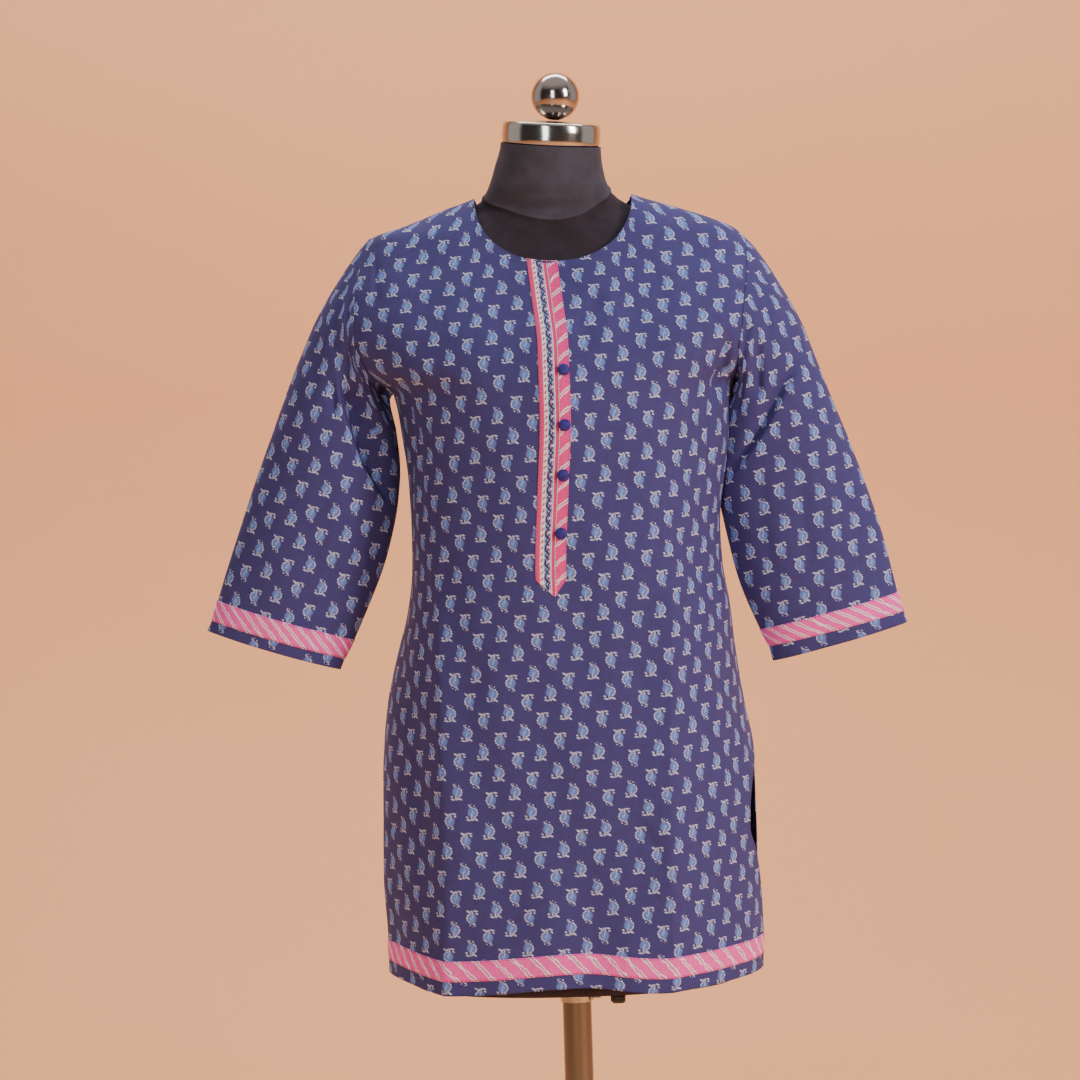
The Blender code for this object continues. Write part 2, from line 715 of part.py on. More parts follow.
def armhole_loop(front, back, hand):
    """Outer points of the armhole: from the tip down the front, then up the back."""
    edge = 0 if hand == "left" else -1
    first = len(front) - 1 - ARMHOLE_STEPS
    down = [front[r][edge].copy() for r in range(len(front) - 1, first, -1)]
    up = [back[r][edge].copy() for r in range(first, len(back) - 1)]
    down[0].y = back[-1][edge].y - SEAM_GAP / 2
    up[0].y = SEAM_Y
    return down + up


def section_loop(row, columns, count):
    """One cross section of a sleeve, from its outer edge by the front to its inner edge and back."""
    value = dict(zip(columns, row))
    outer = Vector((value["outer_x"], 0.0, value["outer_z"]))
    inner = Vector((value["inner_x"], 0.0, value["inner_z"]))
    centre, reach = (outer + inner) / 2, (outer - inner) / 2
    loop = []
    for step in range(count):
        angle = 2 * math.pi * step / count
        power = 2 / value["power"]
        along = math.copysign(abs(math.cos(angle)) ** power, math.cos(angle))
        across = math.copysign(abs(math.sin(angle)) ** power, math.sin(angle))
        depth = value["front"] if across > 0 else value["back"]
        loop.append(centre + reach * along + Vector((0.0, value["middle"] - across * depth, 0.0)))
    return loop


def sink_folds(loop, hand):
    """Presses the sunk folds into the front of a sleeve's section."""
    count = len(loop)
    for step in range(1, count // 2):
        point = loop[step]
        for fold in SLEEVE_FOLDS[hand]:
            start, end = Vector(fold["from"]), Vector(fold["to"])
            flat = Vector((point.x, point.z))
            line = end - start
            share = min(max((flat - start).dot(line) / line.length_squared, 0.0), 1.0)
            distance = (flat - (start + line * share)).length
            weight = math.exp(-(distance / fold["width"]) ** 2) * math.sin(math.pi * step / (count / 2))
            point.y += fold["depth"] * weight
    return loop


def hermite(start, end, start_slope, end_slope, share):
    square, cube = share * share, share ** 3
    value = start * (2 * cube - 3 * square + 1) + start_slope * (cube - 2 * square + share)
    return value + end * (3 * square - 2 * cube) + end_slope * (cube - square)


def sleeve_loops(table, hand, armhole):
    """All the cross sections of a sleeve, from the armhole to the cuff."""
    way = -1.0 if hand == "left" else 1.0
    count = len(armhole)
    sections = [section_loop(row, table["columns"], count) for row in table["rows"]]
    start = [point + Vector((way * SEAM_GAP, 0.0, 0.0)) for point in armhole]
    loops = [start]
    for share in SLEEVE_HEAD_SHARES:
        loop = []
        for step in range(count):
            top = (1 + math.cos(2 * math.pi * step / count)) / 2
            leave = Vector((way * mix(*SLEEVE_HEAD["out"], top), 0.0, -mix(*SLEEVE_HEAD["down"], top)))
            leave.z -= SLEEVE_HEAD["side_drop"] * (1 - abs(2 * top - 1))
            arrive = (sections[1][step] - sections[0][step]) * SLEEVE_HEAD["arrive"]
            loop.append(hermite(start[step], sections[0][step], leave, arrive, share))
        loops.append(loop)
    band_start = SLEEVE_BAND_ROWS[0]
    for index in range(band_start):
        loops.append(sections[index])
        if index == 0:
            continue
        before, here, after, later = sections[index - 1:index + 3]
        loops.append([
            here[s] * 0.5625 + after[s] * 0.5625 - before[s] * 0.0625 - later[s] * 0.0625 for s in range(count)
        ])
    loops += sections[band_start:]
    return [loop if loop is start else sink_folds(loop, hand) for loop in loops]


def sleeve_normals(loops, hand):
    way = Vector((-1.0 if hand == "left" else 1.0, 0.0, 0.0))
    centres = [sum(loop, Vector()) / len(loop) for loop in loops]
    normals = []
    for index, loop in enumerate(loops):
        line = []
        count = len(loop)
        for step in range(count):
            across = loop[(step + 1) % count] - loop[step - 1]
            if index == 0:
                along = way
            else:
                along = loops[min(index + 1, len(loops) - 1)][step] - loops[index - 1][step]
            normal = across.cross(along).normalized()
            if normal.dot(loop[step] - centres[index]) < 0:
                normal = -normal
            line.append(normal)
        normals.append(line)
    return normals


def build_sleeve(hand, table, front, back, cotton, wave):
    armhole = armhole_loop(front, back, hand)
    loops = sleeve_loops(table, hand, armhole)
    normals = sleeve_normals(loops, hand)
    inner = offset_rows(loops, normals, -CLOTH_WALL)
    dress(wall_mesh("sleeve_" + hand, loops, inner, closed=True), cotton)
    low = offset_rows(loops[-3:-1], normals[-3:-1], TRIM_GAP)
    high = offset_rows(loops[-3:-1], normals[-3:-1], TRIM_GAP + TRIM_WALL)
    dress(wall_mesh("cuff_band_" + hand, high, low, closed=True), wave)


def build_form(jersey):
    """The dress form: a loft of sections, closed at the bottom and at the slanting top of the neck."""
    mesh = bmesh.new()
    loops = []
    for z, half, front, back, middle, square, lean in FORM["rows"]:
        loop = []
        for step in range(ROUND_STEPS):
            angle = 2 * math.pi * step / ROUND_STEPS
            power = 2 / square
            x = math.copysign(abs(math.cos(angle)) ** power, math.cos(angle)) * half
            y = math.copysign(abs(math.sin(angle)) ** power, math.sin(angle))
            y *= back if y > 0 else front
            slant = y * math.tan(NECK_TILT_FORWARD) - x * math.tan(NECK_TILT_RIGHT)
            height = z + slant * fade(z, NECK_TILT_START_Z, NECK_TOP_Z)
            loop.append(mesh.verts.new((x + lean, middle + y, height)))
        loops.append(loop)
    for low, high in zip(loops, loops[1:]):
        for step in range(ROUND_STEPS):
            after = (step + 1) % ROUND_STEPS
            mesh.faces.new((low[step], low[after], high[after], high[step]))
    mesh.faces.new(loops[0][::-1])
    mesh.faces.new(loops[-1])
    form = dress(finish_mesh("form_body", mesh), jersey)
    depth = BORE_TOP_Z - FORM_BOTTOM_Z
    bore = cutter("pole_bore", POLE_BORE, depth + 0.02, (0, 0, FORM_BOTTOM_Z + depth / 2 - 0.01))
    join_tool(form, bore, "DIFFERENCE")


def build_neck_metal(steel):
    cap = [(0.0, CAP_HEIGHT)]
    for step in range(1, 6):
        angle = math.radians(18 * step)
        height = CAP_HEIGHT - CAP_ROUNDING * (1 - math.cos(angle))
        cap.append((CAP_RADIUS * math.sin(angle) ** 0.8, height))
    cap += [(CAP_RADIUS, CAP_LIP), (CAP_RADIUS - 0.001, 0.0), (0.0, 0.0)]
    thing = dress(turned("neck_cap", cap), steel)
    top = FORM["rows"][-1]
    slant = Vector((math.tan(NECK_TILT_RIGHT), -math.tan(NECK_TILT_FORWARD), 1.0))
    up = slant.normalized()
    thing.location = Vector((top[6], top[4], NECK_TOP_Z)) + up * SMALL_GAP
    thing.rotation_mode = "QUATERNION"
    thing.rotation_quaternion = Vector((0.0, 0.0, 1.0)).rotation_difference(up)
    bpy.ops.mesh.primitive_uv_sphere_add(segments=24, ring_count=14, radius=BALL_RADIUS)
    ball = bpy.context.object
    ball.name = "finial"
    for collection in list(ball.users_collection):
        collection.objects.unlink(ball)
    parts.objects.link(ball)
    ball.rotation_mode = "QUATERNION"
    ball.rotation_quaternion = thing.rotation_quaternion
    across = up.cross(Vector((0.0, 1.0, 0.0))).normalized()
    ball.location = thing.location + up * (CAP_HEIGHT + SMALL_GAP + BALL_RADIUS) - across * BALL_SHIFT
    ball.data.shade_smooth()
    dress(ball, steel)


def build_collar(steel):
    top = FORM_BOTTOM_Z - SMALL_GAP
    profile = [
        (POLE_BORE, top), (FLANGE_RADIUS, top), (FLANGE_RADIUS, top - FLANGE_THICKNESS),
        (COLLAR_RADIUS, top - FLANGE_THICKNESS), (COLLAR_RADIUS, COLLAR_BOTTOM_Z), (POLE_BORE, COLLAR_BOTTOM_Z),
        (POLE_BORE, top),
    ]
    collar = dress(turned("collar", profile), steel)
    quarter = math.pi / 2
    start = POLE_BORE + BOSS_INSET
    length = BOSS_END_X - start
    boss = cutter("screw_boss", BOSS_RADIUS, length, (start + length / 2, 0, SCREW_Z), (0, quarter, 0), 16)
    join_tool(collar, boss, "UNION")
    hole_x = POLE_BORE + SCREW_HOLE_LENGTH / 2 - SCREW_HOLE_INSET
    hole = cutter("screw_hole", SCREW_BORE, SCREW_HOLE_LENGTH, (hole_x, 0, SCREW_Z), (0, quarter, 0), 16)
    join_tool(collar, hole, "DIFFERENCE")


def build_thumb_screw(black):
    tip = POLE_BORE + SMALL_GAP
    end = KNOB_START_X + KNOB_LENGTH
    profile = [
        (0.0, end), (KNOB_RADIUS * 0.8, end), (KNOB_RADIUS, end - KNOB_ROUNDING),
        (KNOB_RADIUS, KNOB_START_X + KNOB_ROUNDING), (KNOB_RADIUS * 0.7, KNOB_START_X),
        (SCREW_RADIUS, KNOB_START_X), (SCREW_RADIUS, tip), (0.0, tip),
    ]
    screw = dress(turned("thumb_screw", profile, 20), black)
    screw.location = (0.0, 0.0, SCREW_Z)
    screw.rotation_euler = (0.0, math.pi / 2, 0.0)


def build_stand(chrome, steel):
    profile = [
        (0.0, POLE_BOTTOM_Z - SMALL_GAP), (POLE_BORE, POLE_BOTTOM_Z - SMALL_GAP), (POLE_BORE, HUB_HEIGHT),
        (HUB_RADIUS, HUB_HEIGHT), (HUB_RADIUS + 0.002, BASE_THICKNESS + 0.012),
        (HUB_FOOT_RADIUS, BASE_THICKNESS + 0.003), (BASE_RADIUS - BASE_ROUNDING, BASE_THICKNESS),
        (BASE_RADIUS, BASE_THICKNESS - 0.004), (BASE_RADIUS, 0.0), (0.0, 0.0),
    ]
    dress(turned("base", profile, 48), steel)
    height = POLE_TOP_Z - POLE_BOTTOM_Z
    bpy.ops.mesh.primitive_cylinder_add(
        vertices=ROUND_STEPS, radius=POLE_RADIUS, depth=height, location=(0, 0, POLE_BOTTOM_Z + height / 2))
    pole = bpy.context.object
    pole.name = "pole"
    for collection in list(pole.users_collection):
        collection.objects.unlink(pole)
    parts.objects.link(pole)
    dress(pole, chrome)


def main():
    global parts, cutters
    for thing in list(bpy.data.objects):
        bpy.data.objects.remove(thing, do_unlink=True)
    parts = bpy.data.collections.new("kurta_on_form")
    cutters = bpy.data.collections.new("cutters")
    bpy.context.scene.collection.children.link(parts)
    bpy.context.scene.collection.children.link(cutters)

    cotton = material("block_print_cotton", (0.065, 0.050, 0.155), 0.85)
    wave = material("wave_print_cotton", (0.84, 0.12, 0.34), 0.8)
    border = material("border_print_cotton", (0.30, 0.42, 0.70), 0.8)
    button_cloth = material("button_cotton", (0.025, 0.018, 0.22), 0.7)
    jersey = material("black_jersey", (0.012, 0.011, 0.012), 0.95)
    steel = material("polished_steel", (0.58, 0.56, 0.54), 0.25, 1.0)
    chrome = material("chrome_tube", (0.62, 0.61, 0.60), 0.12, 1.0)
    black = material("black_plastic", (0.02, 0.02, 0.02), 0.45)

    front, front_normals = build_panel("front", cotton)
    back, back_normals = build_panel("back", cotton)
    build_hem_band("front", front, front_normals, wave)
    build_hem_band("back", back, back_normals, wave)
    build_placket(front, front_normals, border, wave)
    build_buttons(front, front_normals, button_cloth)
    build_sleeve("left", SLEEVE_LEFT, front, back, cotton, wave)
    build_sleeve("right", SLEEVE_RIGHT, front, back, cotton, wave)
    build_form(jersey)
    build_neck_metal(steel)
    build_collar(steel)
    build_thumb_screw(black)
    build_stand(chrome, steel)


main()
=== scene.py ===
import math

import bpy
import numpy as np
from mathutils import Matrix, Vector


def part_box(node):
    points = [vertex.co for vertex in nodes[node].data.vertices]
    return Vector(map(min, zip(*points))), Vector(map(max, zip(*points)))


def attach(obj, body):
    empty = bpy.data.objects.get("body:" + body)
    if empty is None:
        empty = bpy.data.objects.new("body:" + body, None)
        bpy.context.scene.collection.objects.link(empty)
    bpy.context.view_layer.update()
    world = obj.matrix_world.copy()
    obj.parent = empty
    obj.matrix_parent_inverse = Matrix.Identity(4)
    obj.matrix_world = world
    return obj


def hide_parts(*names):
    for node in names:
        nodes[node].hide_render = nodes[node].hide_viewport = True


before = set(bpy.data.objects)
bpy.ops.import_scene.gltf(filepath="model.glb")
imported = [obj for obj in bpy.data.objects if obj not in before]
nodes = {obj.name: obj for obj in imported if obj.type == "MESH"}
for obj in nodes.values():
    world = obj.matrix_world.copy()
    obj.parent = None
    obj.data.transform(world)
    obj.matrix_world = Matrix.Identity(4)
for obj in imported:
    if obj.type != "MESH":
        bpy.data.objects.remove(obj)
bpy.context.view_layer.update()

scene = bpy.context.scene
mm = 0.001

# The cut, one row a height: half widths left and right of the pole, depths before and behind the side seams
garment = {
    "columns": ("z", "left", "right", "front", "back", "seam"),
    "rows": (
        (0.655, 0.188, 0.189, 0.128, 0.139, 0.006),
        (0.700, 0.188, 0.190, 0.128, 0.139, 0.006),
        (0.760, 0.1905, 0.1885, 0.128, 0.139, 0.006),
        (0.820, 0.189, 0.187, 0.128, 0.139, 0.006),
        (0.880, 0.187, 0.1855, 0.129, 0.138, 0.006),
        (0.930, 0.182, 0.177, 0.130, 0.135, 0.006),
        (0.980, 0.171, 0.170, 0.131, 0.131, 0.006),
        (1.030, 0.1575, 0.165, 0.133, 0.126, 0.006),
        (1.070, 0.152, 0.159, 0.134, 0.121, 0.006),
        (1.110, 0.151, 0.1575, 0.135, 0.118, 0.006),
        (1.160, 0.1525, 0.1645, 0.136, 0.115, 0.006),
        (1.200, 0.157, 0.1710, 0.136, 0.114, 0.006),
        (1.247, 0.165, 0.1735, 0.135, 0.114, 0.006),
        (1.270, 0.199, 0.192, 0.131, 0.114, 0.006),
        (1.300, 0.221, 0.214, 0.119, 0.113, 0.006),
        (1.325, 0.228, 0.222, 0.103, 0.109, 0.006),
        (1.343, 0.227, 0.220, 0.092, 0.105, 0.007),
        (1.360, 0.218, 0.211, 0.081, 0.098, 0.007),
        (1.374, 0.209, 0.203, 0.072, 0.091, 0.008),
        (1.390, 0.196, 0.192, 0.062, 0.082, 0.008),
        (1.402, 0.183, 0.180, 0.055, 0.074, 0.008),
        (1.415, 0.144, 0.151, 0.047, 0.063, 0.008),
        (1.429, 0.107, 0.108, 0.037, 0.048, 0.008),
        (1.439, 0.078, 0.078, 0.027, 0.033, 0.008),
        (1.448, 0.060, 0.060, 0.018, 0.020, 0.008),
    ),
}
armhole = {
    "columns": ("along", "leftX", "leftZ", "rightX", "rightZ"),
    "rows": (
        (0.00, 0.1650, 1.247, 0.1735, 1.247),
        (0.15, 0.1800, 1.262, 0.1760, 1.261),
        (0.30, 0.1925, 1.283, 0.1765, 1.282),
        (0.45, 0.1985, 1.306, 0.1805, 1.305),
        (0.60, 0.1985, 1.331, 0.1835, 1.330),
        (0.80, 0.1935, 1.366, 0.1885, 1.362),
        (1.00, 0.1840, 1.402, 0.1905, 1.3917),
    ),
}
frontLines = {
    "columns": ("z", "leftFold", "rightFold", "placket"),
    "rows": (
        (0.655, -0.122, 0.090, -0.0095),
        (0.780, -0.119, 0.092, -0.0095),
        (0.910, -0.118, 0.095, -0.0095),
        (1.070, -0.119, 0.101, -0.0095),
        (1.150, -0.118, 0.106, -0.0050),
        (1.230, -0.118, 0.118, -0.0005),
        (1.290, -0.119, 0.120, -0.0008),
        (1.340, -0.120, 0.120, -0.0055),
        (1.385, -0.120, 0.120, -0.0095),
        (1.440, -0.120, 0.120, -0.0100),
    ),
}
hemLine = {"columns": ("x", "z"), "rows": ((-0.190, 0.667), (-0.122, 0.660), (0.0, 0.667), (0.090, 0.659), (0.190, 0.662))}
slit = {  # how far each panel's edge swings in from the side, in radians
    "columns": ("z", "left", "right", "back"),
    "rows": (
        (0.655, 0.05, 0.05, 0.10),
        (0.740, 0.07, 0.09, 0.12),
        (0.785, 0.08, 0.23, 0.10),
        (0.812, 0.08, 0.35, 0.07),
        (0.840, 0.08, 0.31, 0.06),
        (0.870, 0.05, 0.17, 0.04),
        (0.885, 0.00, 0.00, 0.00),
        (1.250, 0.00, 0.00, 0.00),
    ),
}
sleeveColumns = ("outerX", "outerZ", "innerX", "innerZ", "front", "back", "middle", "power")
sleeveCut = {
    "left": (
        (-0.2440, 1.3140, -0.1630, 1.2090, 0.053, 0.056, 0.004, 2.1),
        (-0.2680, 1.2590, -0.1605, 1.1780, 0.049, 0.052, 0.003, 2.0),
        (-0.2900, 1.2040, -0.1625, 1.1500, 0.045, 0.048, 0.002, 2.0),
        (-0.3110, 1.1500, -0.1680, 1.1180, 0.041, 0.043, 0.000, 1.9),
        (-0.3300, 1.0970, -0.1820, 1.0700, 0.036, 0.037, -0.002, 1.8),
        (-0.3468, 1.0468, -0.2115, 1.0036, 0.029, 0.029, -0.004, 1.7),
        (-0.3534, 1.0270, -0.2216, 0.9850, 0.027, 0.027, -0.005, 1.7),
        (-0.3587, 1.0170, -0.2262, 0.9740, 0.026, 0.026, -0.005, 1.7),
    ),
    "right": (
        (0.2470, 1.2990, 0.1600, 1.2060, 0.053, 0.056, 0.004, 2.1),
        (0.2690, 1.2380, 0.1570, 1.1720, 0.049, 0.052, 0.003, 2.0),
        (0.2880, 1.1890, 0.1565, 1.1400, 0.044, 0.047, 0.002, 2.0),
        (0.3050, 1.1400, 0.1635, 1.0980, 0.040, 0.042, 0.000, 1.9),
        (0.3190, 1.0920, 0.1755, 1.0480, 0.034, 0.036, -0.002, 1.8),
        (0.3322, 1.0350, 0.1941, 1.0022, 0.028, 0.028, -0.004, 1.7),
        (0.3376, 1.0160, 0.2026, 0.9850, 0.026, 0.026, -0.005, 1.7),
        (0.3413, 1.0046, 0.2061, 0.9698, 0.025, 0.025, -0.005, 1.7),
    ),
}
cut = {
    "power": 2.25, "hemZ": 0.667, "underarmZ": 1.247, "neckHalf": 0.078, "neckSideZ": 1.439, "neckDropFront": 0.066,
    "neckDropBack": 0.021, "neckPower": 2.15, "seamGap": 0.0004, "cloth": 0.0007, "trim": 0.0006, "trimGap": 0.0001,
    "sidePull": 0.30, "sidePullFade": (0.96, 1.16), "formGap": 0.028, "formGapFade": (1.16, 1.22), "shoulderX": 0.120,
    "innerLeftX": -0.088, "innerRightX": 0.078, "seamWidth": 0.0003, "placketFade": (0.035, 0.060),
}
detail = {"across": 7, "up": 9, "armholeSteps": 72, "around": 228}
panelHeights = (
    0.667, 0.681, 0.701, 0.735, 0.775, 0.812, 0.848, 0.885, 0.935, 0.985, 1.03, 1.075, 1.12, 1.165, 1.205, 1.247,
)
placket = {
    "border": 0.0183, "band": 0.0115, "tipZ": 1.049, "tipLength": 0.017, "lowest": 1.0496, "topZ": 1.37, "topGap": 0.0003,
    "middleGap": 0.00012, "rows": 190, "columns": 8,
}


# The dress form, one row a height; lean moves a section sideways
form = {
    "columns": ("z", "half", "front", "back", "middle", "power", "lean"),
    "rows": (
        (0.652, 0.160, 0.095, 0.109, 0.006, 2.25, 0.0),
        (0.658, 0.164, 0.099, 0.113, 0.006, 2.25, 0.0),
        (0.700, 0.169, 0.102, 0.118, 0.006, 2.25, 0.0),
        (0.760, 0.176, 0.104, 0.126, 0.006, 2.25, 0.0),
        (0.820, 0.1800, 0.105, 0.131, 0.006, 2.25, 0.0),
        (0.870, 0.1790, 0.104, 0.131, 0.006, 2.25, 0.0),
        (0.920, 0.172, 0.102, 0.124, 0.006, 2.25, 0.0),
        (0.970, 0.157, 0.095, 0.111, 0.006, 2.25, 0.0),
        (1.015, 0.139, 0.090, 0.096, 0.006, 2.25, 0.0),
        (1.060, 0.127, 0.090, 0.088, 0.006, 2.25, 0.0),
        (1.110, 0.129, 0.100, 0.090, 0.006, 2.25, 0.0),
        (1.160, 0.139, 0.114, 0.097, 0.006, 2.25, 0.0),
        (1.210, 0.149, 0.127, 0.104, 0.006, 2.25, 0.0),
        (1.250, 0.155, 0.130, 0.1098, 0.006, 2.25, 0.0),
        (1.285, 0.165, 0.121, 0.1112, 0.006, 2.25, 0.0),
        (1.315, 0.176, 0.105, 0.108, 0.006, 2.25, 0.0),
        (1.340, 0.183, 0.089, 0.101, 0.007, 2.25, 0.0),
        (1.362, 0.187, 0.074, 0.092, 0.007, 2.25, 0.0),
        (1.380, 0.186, 0.062, 0.082, 0.008, 2.20, 0.0),
        (1.392, 0.178, 0.055, 0.074, 0.008, 2.10, 0.0),
        (1.402, 0.160, 0.049, 0.066, 0.008, 2.00, 0.0),
        (1.413, 0.128, 0.044, 0.058, 0.008, 1.70, -0.001),
        (1.425, 0.086, 0.042, 0.052, 0.007, 1.50, -0.003),
        (1.437, 0.067, 0.045, 0.050, 0.004, 1.75, -0.0045),
        (1.450, 0.059, 0.048, 0.051, 0.003, 2.00, -0.0045),
        (1.465, 0.0545, 0.048, 0.050, 0.001, 2.00, -0.0035),
        (1.4895, 0.0498, 0.048, 0.048, -0.001, 2.00, -0.0005),
    ),
}


# Shape helpers

def mix(first, last, share):
    return first + (last - first) * share


def fade(at, start, end):
    share = np.clip((np.asarray(at, float) - start) / (end - start), 0.0, 1.0)
    return share * share * (3 - 2 * share)


curves = {}


def read(table, name, at):  # a smooth curve through one column of a table, with no overshoot
    key = (id(table), name)
    if key not in curves:
        xs = np.array([row[0] for row in table["rows"]])
        ys = np.array([row[table["columns"].index(name)] for row in table["rows"]])
        steps = np.diff(ys) / np.diff(xs)
        slopes = np.zeros(len(xs))
        for i in range(1, len(xs) - 1):
            if steps[i - 1] * steps[i] > 0:
                slopes[i] = 2 * steps[i - 1] * steps[i] / (steps[i - 1] + steps[i])
        curves[key] = xs, ys, slopes
    xs, ys, slopes = curves[key]
    at = np.clip(np.asarray(at, float), xs[0], xs[-1])
    low = np.clip(np.searchsorted(xs, at, side="right") - 1, 0, len(xs) - 2)
    span = xs[low + 1] - xs[low]
    return hermite(ys[low], ys[low + 1], slopes[low] * span, slopes[low + 1] * span, (at - xs[low]) / span)


def hermite(start, end, leave, arrive, t):
    square, cube = t * t, t ** 3
    risen = 3 * square - 2 * cube
    return start * (1 - risen) + leave * (cube - 2 * square + t) + end * risen + arrive * (cube - square)


def halfWidth(x, z):
    return np.where(np.asarray(x) < 0, read(garment, "left", z), read(garment, "right", z))


def angleAt(x, z):
    share = np.minimum(np.abs(x) / halfWidth(x, z), 1.0) ** (cut["power"] / 2)
    return np.copysign(np.arcsin(share), x)


# Pressed folds that run down the kurta: a broad rise with a sharp ridge on it, gone above the waist
pressedFolds = [dict(zip(("side", "line", "fadeFrom", "fadeTo", "out", "reach", "sharp"), row)) for row in (
    ("front", "leftFold", 1.00, 1.22, 0.0075, 0.62, 1.6),
    ("front", "rightFold", 0.98, 1.20, 0.0060, 0.55, 1.6),
    ("back", "leftFold", 0.95, 1.18, 0.0060, 0.60, 1.6),
    ("back", "rightFold", 0.95, 1.18, 0.0055, 0.60, 1.6),
    ("front", "leftFold", 0.99, 1.17, 0.0036, 0.17, 1.1),
    ("front", "rightFold", 0.97, 1.15, 0.0036, 0.17, 1.1),
    ("back", "leftFold", 0.95, 1.15, 0.0032, 0.17, 1.1),
    ("back", "rightFold", 0.95, 1.15, 0.0032, 0.17, 1.1),
)]


def bodyAtAngle(side, angle, z):
    lift = np.zeros_like(angle + z)
    for press in pressedFolds:
        if press["side"] == side:
            line = angleAt(read(frontLines, press["line"], z), z)
            near = np.maximum(0.0, 1.0 - np.abs(angle - line) / press["reach"])
            lift = lift + press["out"] * near ** press["sharp"] * (1.0 - fade(z, press["fadeFrom"], press["fadeTo"]))
    power = 2 / cut["power"]
    x = (halfWidth(angle, z) + lift) * np.copysign(np.abs(np.sin(angle)) ** power, angle)
    y = (read(garment, side, z) + lift) * np.maximum(np.cos(angle), 0.0) ** power
    way = -1.0 if side == "front" else 1.0
    return np.stack([x, read(garment, "seam", z) + way * y, np.broadcast_to(z, x.shape)], -1)


def bodyAtX(side, x, z):
    share = np.minimum(np.abs(x) / halfWidth(x, z), 1.0)
    y = read(garment, side, z) * (1 - share ** cut["power"]) ** (1 / cut["power"])
    way = -1.0 if side == "front" else 1.0
    return np.stack([x, read(garment, "seam", z) + way * y, z], -1)


def armholePoint(hand, along):
    x = read(armhole, hand + "X", along)
    return np.array([-x if hand == "left" else x, read(armhole, hand + "Z", along)])


def neckline(side, x):
    drop = cut["neckDropFront"] if side == "front" else cut["neckDropBack"]
    share = np.minimum(np.abs(x) / cut["neckHalf"], 1.0)
    return cut["neckSideZ"] - drop * (1 - share ** cut["neckPower"]) ** (1 / cut["neckPower"])


shoulderZ = np.linspace(1.385, 1.4475, 800)


def shoulderHeight(x):
    return float(np.interp(-abs(x), -read(garment, "left" if x < 0 else "right", shoulderZ), shoulderZ))


# Folds listed one by one, each a depth into the cloth, a width and the points of its line in the front view.
# otherWidth is for the slower side of a step, and ends is the share of the depth left at both ends
def fold(depth, width, *line, **others):
    return {"depth": depth, "width": width, "line": line, **others}


